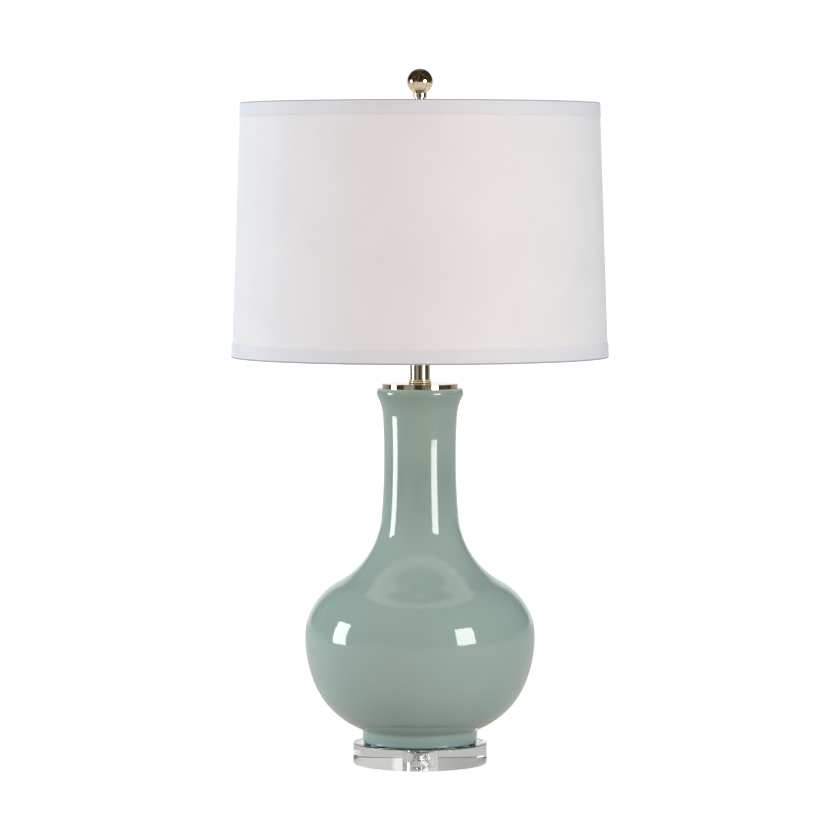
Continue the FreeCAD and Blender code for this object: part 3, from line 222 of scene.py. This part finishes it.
def linen(name, warp_tone, weft_tone, slub_tone, fold=None):
    """Plain-woven cloth: warp and weft pass over each other, with a few thick threads.

    A strip that is folded along a line gets a painted highlight along its cut end, and a dark line of
    painted shade at its fold."""
    ribs = 0.16 * MM
    finish = Finish(name, {"Roughness": 0.88, "Sheen Weight": 0.12, "Sheen Roughness": 0.5,
                           "Specular IOR Level": 0.25})
    split = finish.add("SeparateXYZ", {0: finish.place.outputs["UV"]})
    threads = [finish.math("SINE", finish.math("MULTIPLY", split.outputs[axis], math.pi / THREAD_PITCH))
               for axis in (0, 1)]
    over = finish.math("MULTIPLY_ADD", finish.math("MULTIPLY", threads[0], threads[1]), 0.5, 0.5)
    warp, weft = (finish.math("ABSOLUTE", thread) for thread in threads)
    height = finish.blend(over, warp, weft)
    slubs = [finish.clouds(finish.stretched("UV", scale), 1.0, 3.0, 0.6)
             for scale in ((1900, 26, 1), (26, 1900, 1))]
    thick = finish.math("MAXIMUM", slubs[0], slubs[1])
    thick = finish.between(thick, 0.60, 0.80)
    uneven = finish.clouds(finish.stretched("UV", (14, 14, 1)), 1.0, 4.0, 0.6)
    tone = finish.blend(over, rgb(*warp_tone), rgb(*weft_tone))
    tone = finish.blend(finish.math("MULTIPLY", thick, 0.45), tone, rgb(*slub_tone))
    tone = finish.blend(finish.between(uneven, 0.3, 0.7, 0.0, 0.25), tone, rgb(*slub_tone))
    if fold is not None:
        along = split.outputs[1]
        # Painted highlight: a pale band along the trim's cut end.
        hem_highlight = finish.between(along, 0.4 * MM, HEM_HIGHLIGHT_WIDTH, 0.6, 0.0)
        tone = finish.blend(hem_highlight, tone, rgb(0.93, 0.91, 0.92))
        # Painted shade: a dark line along the fold over the rim.
        fold_shade = finish.math("MULTIPLY", finish.between(along, fold - 0.5 * MM, fold + 0.3 * MM, 0.0, 0.7),
                             finish.between(along, fold + 0.7 * MM, fold + 1.5 * MM, 1.0, 0.0))
        tone = finish.blend(fold_shade, tone, rgb(0.22, 0.22, 0.225))
    finish.drive("Base Color", tone)
    normal = finish.bump(height, ribs)
    finish.drive("Normal", finish.bump(thick, 0.10 * MM, under=normal))
    return finish.material


def plain(name, tone, roughness, grain=400.0, depth=0.02 * MM, shade=0.9, **constants):
    """A moulded, pressed or painted surface: a fine grain and a little unevenness."""
    finish = Finish(name, constants)
    place = finish.place.outputs["Object"]
    grains = finish.clouds(place, grain, 3.0, 0.6)
    patches = finish.clouds(place, grain / 20, 3.0, 0.5)
    finish.drive("Base Color", finish.blend(patches, rgb(*tone), rgb(*(shade * part for part in tone))))
    finish.drive("Roughness", finish.between(patches, 0.3, 0.7, roughness, roughness + 0.08))
    finish.drive("Normal", finish.bump(grains, depth))
    return finish.material


NICKEL = (0.71, 0.63, 0.48)

finishes = {
    "clear_pad": plain("clear_pad", (0.90, 0.91, 0.91), 0.25, **{"Transmission Weight": 0.8, "IOR": 1.45}),
    "crystal": crystal(),
    "plated_steel": plated_steel("plated_steel", (0.62, 0.61, 0.58), 0.22),
    "dark_gasket": plain("dark_gasket", (0.030, 0.026, 0.022), 0.75, 1500.0, 0.05 * MM),
    "celadon_glaze": glaze(),
    "bushing_plastic": plain("bushing_plastic", (0.62, 0.63, 0.61), 0.40),
    "polished_nickel": polished_metal("polished_nickel", NICKEL),
    "insulating_paper": plain("insulating_paper", (0.55, 0.44, 0.30), 0.80, 2500.0, 0.05 * MM),
    "moulded_phenolic": plain("moulded_phenolic", (0.035, 0.028, 0.025), 0.30),
    "terminal_brass": polished_metal("terminal_brass", (0.80, 0.58, 0.25), 0.18, 0.10),
    "knob_plastic": plain("knob_plastic", (0.028, 0.024, 0.021), 0.28),
    "solder_tip": plated_steel("solder_tip", (0.55, 0.54, 0.52), 0.35),
    "bulb_base_metal": plated_steel("bulb_base_metal", (0.74, 0.73, 0.71), 0.20),
    "frosted_glass": plain("frosted_glass", (0.93, 0.93, 0.91), 0.42, 1200.0, 0.008 * MM, 0.98,
                           **{"Transmission Weight": 0.25, "Coat Weight": 0.35, "Coat Roughness": 0.12}),
    "white_linen": linen("white_linen", (0.88, 0.86, 0.85), (0.835, 0.815, 0.805), (0.76, 0.745, 0.735)),
    # The trims are the same linen, painted a darker, bluer grey as shade: light shines through the drum but
    # not through their folded layers over the wire ring.
    "linen_trim": linen("linen_trim", (0.815, 0.815, 0.835), (0.765, 0.765, 0.79), (0.70, 0.70, 0.72),
                        fold=TRIM_FOLD),
    "shade_liner": plain("shade_liner", (0.86, 0.855, 0.84), 0.45, 300.0, 0.01 * MM, 0.97),
    "frame_wire": polished_metal("frame_wire", (0.70, 0.66, 0.60), 0.24, 0.14),
}


# ---------------------------------------------------------------- pieces

def new_piece(name, points, faces, body, slot, sharp=40, cloth_map=None):
    """A mesh that rides on a body and wears the finish of a slot."""
    mesh = bpy.data.meshes.new(name)
    mesh.from_pydata(points, [], faces)
    if cloth_map is not None:
        layer = mesh.uv_layers.new(name="Cloth")
        for loop in mesh.loops:
            layer.data[loop.index].uv = cloth_map[loop.vertex_index]
    mesh.shade_smooth()
    mesh.set_sharp_from_angle(angle=math.radians(sharp))
    mesh.materials.append(finishes[slot])
    piece = bpy.data.objects.new(name, mesh)
    bpy.context.scene.collection.objects.link(piece)
    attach(piece, body)
    return piece


def grid_faces(rows, columns, wrap_rows=False, wrap_columns=False):
    """Quads between the points of a grid that is stored row by row."""
    faces = []
    for row in range(rows if wrap_rows else rows - 1):
        for column in range(columns if wrap_columns else columns - 1):
            below, above = row * columns, (row + 1) % rows * columns
            beside = (column + 1) % columns
            faces.append((below + column, below + beside, above + beside, above + column))
    return faces


def on_circle(radius, angle, height):
    return (radius * math.cos(angle), radius * math.sin(angle), height)


def lathe(profile, segments):
    """Points and faces of a closed profile of (radius, height) swung about the axis."""
    points = [on_circle(radius, TURN * step / segments, height)
              for radius, height in profile for step in range(segments)]
    return points, grid_faces(len(profile), segments, wrap_rows=True, wrap_columns=True)


def rounded(corners, steps=5):
    """A closed outline of (radius, height, rounding) with each corner rounded by an arc."""
    outline = []
    for index, (across, up, rounding) in enumerate(corners):
        corner = Vector((across, up))
        if rounding == 0:
            outline.append((across, up))
            continue
        before = Vector(corners[index - 1][:2]) - corner
        after = Vector(corners[(index + 1) % len(corners)][:2]) - corner
        first = corner + before.normalized() * rounding
        last = corner + after.normalized() * rounding
        centre = corner + (before.normalized() + after.normalized()) * rounding
        for step in range(steps + 1):
            share = step / steps
            spoke = (first - centre).slerp(last - centre, share).normalized()
            outline.append(tuple(centre + spoke * rounding))
    return outline


def build_crystal_disc():
    """The clear disc with its polished, rounded edges, its bore and the recess under it."""
    low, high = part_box("crystal_base")
    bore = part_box("threaded_rod")[1].x + 0.25 * MM
    recess = 13.5 * MM
    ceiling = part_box("base_washer")[1].z
    edge, lip = 0.9 * MM, 0.3 * MM
    outline = rounded([
        (recess, low.z, lip), (high.x, low.z, edge), (high.x, high.z, edge),
        (bore, high.z, lip), (bore, ceiling, 0), (recess, ceiling, 0)])
    points, faces = lathe(outline, 256)
    disc = new_piece("crystal_disc", points, faces, "base", "crystal", sharp=60)
    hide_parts("crystal_base")


def build_pads():
    """Four clear domed feet under the disc."""
    low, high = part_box("bumper_pads")
    radius, rim = 4.8 * MM, 0.5 * MM
    offset = high.x - radius
    points, faces = [], []
    dome = [(0.0, low.z)] + [
        (radius * math.sin(angle), high.z - rim - (high.z - rim - low.z) * math.cos(angle))
        for angle in (math.radians(step) for step in range(30, 91, 12))] + [(radius, high.z), (0.0, high.z)]
    for side in (-1, 1):
        for depth in (-1, 1):
            ring, quads = lathe(dome, 32)
            start = len(points)
            points += [(x + offset * side, y + offset * depth, z) for x, y, z in ring]
            faces += [tuple(start + corner for corner in quad) for quad in quads]
    pads = new_piece("clear_pads", points, faces, "base", "clear_pad")
    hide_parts("bumper_pads")


def build_gasket():
    """The soft gasket, pressed out a little under the foot's edge by the bottle's weight. Its near-black
    edge also draws the dark line under the foot, which is partly painted shade for the gap there.
    """
    low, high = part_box("foot_gasket")
    inner, outer, bulge = 54 * MM, high.x, 1.5 * MM
    middle, half = (low.z + high.z) / 2, (high.z - low.z) / 2
    outline = [(inner, high.z), (inner, low.z), (outer, low.z)]
    for degrees in range(-75, 76, 15):
        angle = math.radians(degrees)
        outline.append((outer + bulge * math.cos(angle), middle + half * math.sin(angle)))
    outline.append((outer, high.z))
    points, faces = lathe(outline, 192)
    gasket = new_piece("pressed_gasket", points, faces, "base", "dark_gasket", sharp=60)
    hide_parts("foot_gasket")


def build_hex_nut(name, node):
    """A hex nut whose corners are turned down by a chamfer at both ends."""
    low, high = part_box(node)
    flats, bore = 14.3 / 2 * MM, 5.1 * MM
    slope, steps = math.tan(math.radians(30)), 72
    points = []
    for step in range(steps):
        angle = TURN * step / steps
        sector = (angle + math.radians(30)) % math.radians(60) - math.radians(30)
        reach = flats / math.cos(sector)
        drop = (reach - 0.97 * flats) * slope
        points += [on_circle(bore, angle, low.z), on_circle(0.97 * flats, angle, low.z),
                   on_circle(reach, angle, low.z + drop), on_circle(reach, angle, high.z - drop),
                   on_circle(0.97 * flats, angle, high.z), on_circle(bore, angle, high.z)]
    faces = grid_faces(steps, 6, wrap_rows=True, wrap_columns=True)
    nut = new_piece(name, points, [face[::-1] for face in faces], "base", "plated_steel", sharp=25)
    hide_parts(node)


def thread_wave(height, angle, pitch):
    """0 at a thread's root and 1 at its crest."""
    phase = (height / pitch - angle / TURN) % 1.0
    return 0.5 - 0.5 * math.cos(TURN * phase)


def build_rod():
    """The pipe: its thread is cut where it shows, at the foot and at the lamp holder."""
    low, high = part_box("threaded_rod")
    outer, inner, segments = high.x, high.x - 1.4 * MM, 40
    foot_end, top_start = low.z + 26 * MM, high.z - 16 * MM
    step = PIPE_PITCH / 8
    cut = [low.z + step * index for index in range(int((foot_end - low.z) / step))]
    cut += [top_start + step * index for index in range(int((high.z - top_start) / step))]
    heights = cut + [high.z]
    points = [on_circle(inner, TURN * turn / segments, low.z) for turn in range(segments)]
    for height in heights:
        for turn in range(segments):
            angle = TURN * turn / segments
            fade = min(1.0, (height - low.z) / PIPE_PITCH, (high.z - height) / PIPE_PITCH)
            depth = PIPE_DEPTH * (1 - fade * thread_wave(height, angle, PIPE_PITCH))
            points.append(on_circle(outer - depth, angle, height))
    points += [on_circle(inner, TURN * turn / segments, high.z) for turn in range(segments)]
    faces = grid_faces(len(heights) + 2, segments, wrap_rows=True, wrap_columns=True)
    rod = new_piece("pipe_with_thread", points, faces, "base", "plated_steel", sharp=60)
    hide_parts("threaded_rod")


def build_bulb_cap():
    """The bulb's metal cap with its round thread."""
    low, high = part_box("bulb_base")
    radius, sheet, segments, rows = high.x, 0.4 * MM, 72, 90
    chamfer, plain_foot, plain_top = 2.0 * MM, 1.5 * MM, 2.0 * MM
    outside, inside = [], []
    for row in range(rows + 1):
        height = low.z + (high.z - low.z) * row / rows
        taper = max(0.0, chamfer - (height - low.z))
        from_foot = (height - low.z - plain_foot) / BULB_PITCH
        from_top = (high.z - plain_top - height) / BULB_PITCH
        fade = max(0.0, min(1.0, from_foot, from_top))
        for turn in range(segments):
            angle = TURN * turn / segments
            depth = taper + BULB_DEPTH * fade * (1 - thread_wave(height, angle, BULB_PITCH))
            outside.append(on_circle(radius - depth, angle, height))
            inside.append(on_circle(radius - depth - sheet, angle, height))
    rows_inside = [inside[start:start + segments] for start in range(0, len(inside), segments)]
    points = outside + [point for row in reversed(rows_inside) for point in row]
    faces = grid_faces(2 * (rows + 1), segments, wrap_rows=True, wrap_columns=True)
    cap = new_piece("bulb_cap", points, faces, "bulb", "bulb_base_metal", sharp=50)
    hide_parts("bulb_base")


# ---------------------------------------------------------------- shade

def shade_wall():
    """The slanted wall as a function: its outer radius at a height."""
    bottom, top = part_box("shade_trim_bottom"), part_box("shade_trim_top")
    slope = (top[1].x - bottom[1].x) / (top[0].z - bottom[0].z)
    return lambda height: bottom[1].x + slope * (height - bottom[0].z)


wall_radius = shade_wall()


def cloth_band(name, profile, slot, ripple):
    """A strip of cloth round the shade that laps over its own end at the back.

    The profile is a list of (distance inwards from the wall, height)."""
    lengths = [0.0]
    for (in_a, up_a), (in_b, up_b) in zip(profile, profile[1:]):
        lengths.append(lengths[-1] + math.hypot(in_b - in_a, up_b - up_a))
    mean = wall_radius(profile[0][1])
    extra = LAP / mean
    points, cloth_map = [], []
    for (inset, height), along in zip(profile, lengths):
        for column in range(COLUMNS + 1):
            share = column / COLUMNS
            angle = SEAM_ANGLE - extra / 2 + share * (TURN + extra)
            lifted = (share * (TURN + extra) - TURN + extra) / extra
            lift = CLOTH_THICKNESS * 1.1 * max(0.0, min(1.0, lifted * 2))
            bend = ripple * noise.noise(Vector(on_circle(9, angle, height * 40)))
            points.append(on_circle(wall_radius(height) - inset + lift + bend, angle, height))
            cloth_map.append((share * (TURN * mean + LAP), along))
    faces = grid_faces(len(profile), COLUMNS + 1)
    band = new_piece(name, points, faces, "shade", slot, cloth_map=cloth_map)
    solid = band.modifiers.new("cloth thickness", "SOLIDIFY")
    solid.thickness = CLOTH_THICKNESS
    solid.offset = -1
    return band


def build_linen_drum():
    """The shade's fabric, stretched just under the trims."""
    low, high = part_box("shade_fabric")
    inset, rows = 0.55 * MM, 40
    profile = [(inset, low.z + (high.z - low.z) * row / rows) for row in range(rows + 1)]
    drum = cloth_band("linen_drum", profile, "white_linen", 0.05 * MM)
    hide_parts("shade_fabric")
    return drum


def build_trim(name, node, ring_node, away):
    """A strip of the same linen, folded over the rim and tucked round its wire."""
    low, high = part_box(node)
    rim, end = (low.z, high.z) if away > 0 else (high.z, low.z)
    ring_low, ring_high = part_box(ring_node)
    ring_height = (ring_low.z + ring_high.z) / 2
    wire = (ring_high.z - ring_low.z) / 2
    ring_inset = wall_radius(ring_height) - (ring_high.x - wire)
    roll = wire + 0.1 * MM + CLOTH_THICKNESS
    corner, straight = FOLD_ROUNDING, 8
    fold_start = rim + corner * away
    # The cut end lies down on the drum, and from there the strip runs straight to the fold.
    profile = [(0.42 * MM, end), (0.25 * MM, end - 0.2 * MM * away), (0.0, end - 0.6 * MM * away)]
    profile += [(0.0, end + (fold_start - end) * step / straight) for step in range(1, straight + 1)]
    for degrees in range(15, 91, 15):
        angle = math.radians(degrees)
        profile.append((corner * (1 - math.cos(angle)), rim + corner * away * (1 - math.sin(angle))))
    for degrees in range(90, 156, 13):
        angle = math.radians(degrees)
        profile.append((ring_inset - roll * math.cos(angle), ring_height - roll * math.sin(angle) * away))
    band = cloth_band(name, profile, "linen_trim", 0.12 * MM)
    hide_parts(node)
    return band


def build_spider_welds():
    """A small brazed fillet where each arm meets the top ring."""
    low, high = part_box("shade_ring_top")
    wire = (high.z - low.z) / 2
    points, faces = [], []
    for degrees in (90, 210, 330):
        spoke = math.radians(degrees)
        inward, under = 2.35 * wire, 0.9 * wire
        middle = Vector(on_circle(high.x - inward, spoke, (low.z + high.z) / 2 - under))
        start, rings, around = len(points), 8, 16
        for ring in range(rings + 1):
            polar = math.pi * ring / rings
            for turn in range(around):
                way = Vector((math.sin(polar) * math.cos(TURN * turn / around),
                              math.sin(polar) * math.sin(TURN * turn / around), math.cos(polar)))
                size = wire * (1.25 + 0.12 * noise.noise(way * 2 + middle * 90))
                points.append(tuple(middle + way * size))
        faces += [tuple(start + corner for corner in face)
                  for face in grid_faces(rings + 1, around, wrap_columns=True)]
    new_piece("spider_welds", points, faces, "shade", "frame_wire", sharp=80)


# ---------------------------------------------------------------- the lamp

for entry in frame["record"]["subparts"]:
    node = frame["nodes"][entry["node"]]
    node.data.materials.clear()
    node.data.materials.append(finishes[entry["material_slot"]])

build_crystal_disc()
build_pads()
build_gasket()
build_hex_nut("lower_nut", "base_nut")
build_hex_nut("upper_nut", "neck_lock_nut")
build_rod()
build_bulb_cap()
drum = build_linen_drum()
trims = [build_trim("linen_trim_bottom", "shade_trim_bottom", "shade_ring_bottom", 1),
         build_trim("linen_trim_top", "shade_trim_top", "shade_ring_top", -1)]
build_spider_welds()

drum_low, drum_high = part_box("shade_fabric")
cut_width = TURN * wall_radius(drum_low.z) + LAP


# ---------------------------------------------------------------- room, light and camera

# The white paper: how it looks to the eye, in polished metal, and through glass from left to right
FLOOR_GLOW = 0.85
FLOOR_MIRRORED = rgb(0.25, 0.20, 0.16)
FLOOR_THROUGH_GLASS = (0.35, 0.62)
FLOOR_BOUNCE = rgb(0.60, 0.56, 0.52)

# The room: what glass bends into view, and what lights the lamp from all sides
THROUGH_LEFT = rgb(0.62, 0.63, 0.61)
THROUGH_RIGHT = rgb(0.41, 0.40, 0.375)
THROUGH_PANEL = rgb(0.90, 0.89, 0.87)
AMBIENT = rgb(0.49, 0.587, 0.685)


def plate(name, radius, height, finish):
    """A round, flat piece of floor."""
    points = [on_circle(radius, TURN * step / 64, height) for step in range(64)]
    mesh = bpy.data.meshes.new(name)
    mesh.from_pydata(points, [], [tuple(range(64))])
    mesh.materials.append(finish.material)
    floor = bpy.data.objects.new(name, mesh)
    bpy.context.scene.collection.objects.link(floor)
    return floor


def build_floor():
    """White paper to the eye; what it throws back at the lamp is dimmer and warmer."""
    seen = Finish("floor_paper", {"Roughness": 0.9, "Specular IOR Level": 0.1,
                                  "Emission Color": rgb(1, 1, 1)})
    through = seen.add("LightPath").outputs["Is Transmission Ray"]
    across = seen.add("SeparateXYZ", {0: seen.place.outputs["Object"]}).outputs["X"]
    dim = seen.between(across, -0.5, 0.5, *FLOOR_THROUGH_GLASS)
    strength = seen.add("Mix", {0: through, 2: FLOOR_GLOW, 3: dim}, data_type="FLOAT").outputs[0]
    seen.drive("Emission Strength", strength)
    seen.drive("Base Color", seen.blend(through, rgb(0.5, 0.5, 0.5), rgb(0.03, 0.03, 0.03)))
    paper = plate("floor", 60.0, 0.0, seen)
    paper.visible_diffuse = False
    paper.visible_glossy = False
    paper.visible_shadow = False
    warm = Finish("floor_bounce", {"Roughness": 0.9, "Specular IOR Level": 0.1, "Base Color": FLOOR_BOUNCE,
                                   "Emission Color": FLOOR_MIRRORED})
    warm.drive("Emission Strength", warm.add("LightPath").outputs["Is Glossy Ray"])
    bounce = plate("floor_under_the_light", 5.5, -2 * MM, warm)
    bounce.visible_camera = False
    bounce.visible_transmission = False
    bounce.visible_shadow = False


# What stands round the lamp at its own height: degrees from -Y towards +X, and brightness
STUDIO = (
    (-180, 1.00), (-155, 0.60), (-132, 0.42), (-114, 0.36), (-109, 0.10), (-94, 0.08), (-76, 0.03),
    (-52, 0.06), (-47, 0.38), (-20, 0.42), (-14, 0.05), (4, 0.04), (8, 0.20), (34, 0.30), (60, 0.06),
    (84, 0.09), (97, 0.04), (106, 0.10), (112, 0.34), (150, 0.55), (180, 1.00))


def build_world():
    """A white sweep behind the lamp and a dim studio in front of it for the metal to mirror."""
    world = bpy.data.worlds.new("studio")
    world.use_nodes = True
    tree = world.node_tree
    bpy.context.scene.world = world

    def add(kind, inputs=None, **settings):
        node = tree.nodes.new("ShaderNode" + kind)
        for field, value in settings.items():
            setattr(node, field, value)
        for socket, value in (inputs or {}).items():
            if isinstance(value, bpy.types.NodeSocket):
                tree.links.new(value, node.inputs[socket])
            else:
                node.inputs[socket].default_value = value
        return node

    def mix(share, first, second):
        return add("Mix", {0: share, 6: first, 7: second}, data_type="RGBA").outputs[2]

    def ease(value, low, high):
        return add("MapRange", {"Value": value, "From Min": low, "From Max": high},
                   interpolation_type="SMOOTHSTEP").outputs[0]

    def math_node(operation, first, second=0.0):
        return add("Math", {0: first, 1: second}, operation=operation).outputs[0]

    split = add("SeparateXYZ", {0: add("TexCoord").outputs["Generated"]})
    across, deep, up = (split.outputs[axis] for axis in range(3))
    azimuth = math_node("ARCTAN2", across, math_node("MULTIPLY", deep, -1.0))
    share = add("MapRange", {"Value": azimuth, "From Min": -math.pi, "From Max": math.pi}).outputs[0]
    ramp = add("ValToRGB", {0: share})
    stops = ramp.color_ramp.elements
    for number, (degrees, brightness) in enumerate(STUDIO):
        place = (degrees + 180) / 360
        stop = stops[number * (len(stops) - 1)] if number < 2 else stops.new(place)
        stop.position = place
        stop.color = rgb(brightness, 0.96 * brightness, 0.88 * brightness)
    round_the_room = add("CombineXYZ", {0: azimuth, 1: up}).outputs[0]
    fan = add("Mapping", {"Vector": round_the_room, "Scale": (6.0, 0.8, 1.0)}).outputs[0]
    streaks = add("TexNoise", {"Vector": fan, "Scale": 1.0, "Detail": 4.0, "Roughness": 0.6})
    ceiling = mix(ease(streaks.outputs["Fac"], 0.47, 0.64), rgb(0.016, 0.014, 0.010), rgb(0.20, 0.15, 0.09))
    middle = ease(math_node("ABSOLUTE", across), 0.34, 0.10)
    overhead = math_node("MULTIPLY", ease(deep, 0.25, 0.60), middle)
    ceiling = mix(math_node("MULTIPLY", overhead, 0.7), ceiling, rgb(0.34, 0.27, 0.19))
    room = mix(ease(up, 0.02, 0.08), ramp.outputs[0], ceiling)
    room = mix(ease(deep, 0.84, 0.95), room, rgb(1.0, 0.99, 0.97))
    path = add("LightPath")
    through = mix(ease(across, -0.5, 0.5), THROUGH_RIGHT, THROUGH_LEFT)
    panel = math_node("MULTIPLY", ease(across, 0.01, 0.04), ease(across, 0.30, 0.24))
    panel = math_node("MULTIPLY", panel, ease(deep, 0.5, 0.8))
    through = mix(panel, through, THROUGH_PANEL)
    seen = mix(path.outputs["Is Diffuse Ray"], room, AMBIENT)
    seen = mix(path.outputs["Is Transmission Ray"], seen, through)
    seen = mix(path.outputs["Is Camera Ray"], seen, rgb(1.05, 1.05, 1.05))
    tree.links.new(seen, tree.nodes["Background"].inputs["Color"])


def aim(thing, target):
    way = Vector(target) - thing.location
    thing.rotation_euler = way.to_track_quat("-Z", "Y").to_euler()


def softbox(name, azimuth, distance, bottom, top, width, shine, glow, tone):
    """A soft box, placed by degrees from -Y: how brightly gloss mirrors it, and how much it lights."""
    way = math.radians(azimuth)
    middle = (top + bottom) / 2
    for part, radiance in (("mirrored", shine), ("lighting", glow)):
        light = bpy.data.lights.new(name + "_" + part, "AREA")
        light.shape = "RECTANGLE"
        light.size = width
        light.size_y = top - bottom
        light.energy = radiance * math.pi * width * (top - bottom)
        light.color = tone
        box = bpy.data.objects.new(light.name, light)
        box.location = (distance * math.sin(way), -distance * math.cos(way), middle)
        aim(box, (0, 0, middle))
        box.visible_camera = False
        box.visible_diffuse = part == "lighting"
        box.visible_glossy = part == "mirrored"
        box.visible_transmission = part == "mirrored"
        bpy.context.scene.collection.objects.link(box)


def fill(name, azimuth, elevation, spread, strength, tone):
    """Light bounced off the studio's walls, which no gloss shows."""
    light = bpy.data.lights.new(name, "SUN")
    light.energy = strength * math.pi
    light.angle = math.radians(spread)
    light.color = tone
    sun = bpy.data.objects.new(name, light)
    way, rise = math.radians(azimuth), math.radians(elevation)
    sun.location = (math.sin(way) * math.cos(rise), -math.cos(way) * math.cos(rise), math.sin(rise))
    aim(sun, (0, 0, 0))
    sun.visible_glossy = False
    sun.visible_transmission = False
    bpy.context.scene.collection.objects.link(sun)


def shade_glow(radius, radiance, tone):
    """The light that comes through the cloth, thrown up inside the shade on its liner."""
    low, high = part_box("shade_liner")
    light = bpy.data.lights.new("shade_glow", "AREA")
    light.shape = "DISK"
    light.size = 2 * radius
    light.energy = radiance * math.pi * math.pi * radius ** 2
    light.color = tone
    glow = bpy.data.objects.new("shade_glow", light)
    glow.location = (0, 0, low.z + 6 * MM)
    aim(glow, (0, 0, high.z))
    glow.visible_camera = False
    glow.visible_glossy = False
    glow.visible_transmission = False
    bpy.context.scene.collection.objects.link(glow)


def build_camera():
    """The camera of the photograph: level with the shade's lower part, tilted down a little."""
    data = bpy.data.cameras.new("camera")
    data.sensor_width = SENSOR_WIDTH
    data.lens = FOCAL_PIXELS / PICTURE_PIXELS * SENSOR_WIDTH
    camera = bpy.data.objects.new("camera", data)
    camera.location = (0, -CAMERA_BACK, CAMERA_HEIGHT)
    camera.rotation_euler = (math.radians(90 - CAMERA_TILT), 0, 0)
    bpy.context.scene.collection.objects.link(camera)
    bpy.context.scene.camera = camera


build_floor()
build_world()
softbox("softbox_left", -86.0, 2.2, 0.05, 1.11, 0.69, 11.5, 4.7, (0.97, 0.985, 1.0))
softbox("softbox_right", 45.8, 2.2, 0.14, 1.23, 0.76, 11.5, 7.0, (1.0, 0.985, 0.965))
fill("fill_left", -104, 5, 30, 0.44, (0.87, 0.945, 1.0))
fill("fill_front", -5, 15, 60, 0.266, (1.0, 0.60, 0.375))
fill("fill_back", 178, 12, 40, 0.20, (1.0, 0.62, 0.36))
shade_glow(0.185, 2.1, (1.0, 0.82, 0.70))
build_camera()
bpy.context.scene.view_settings.view_transform = "Standard"
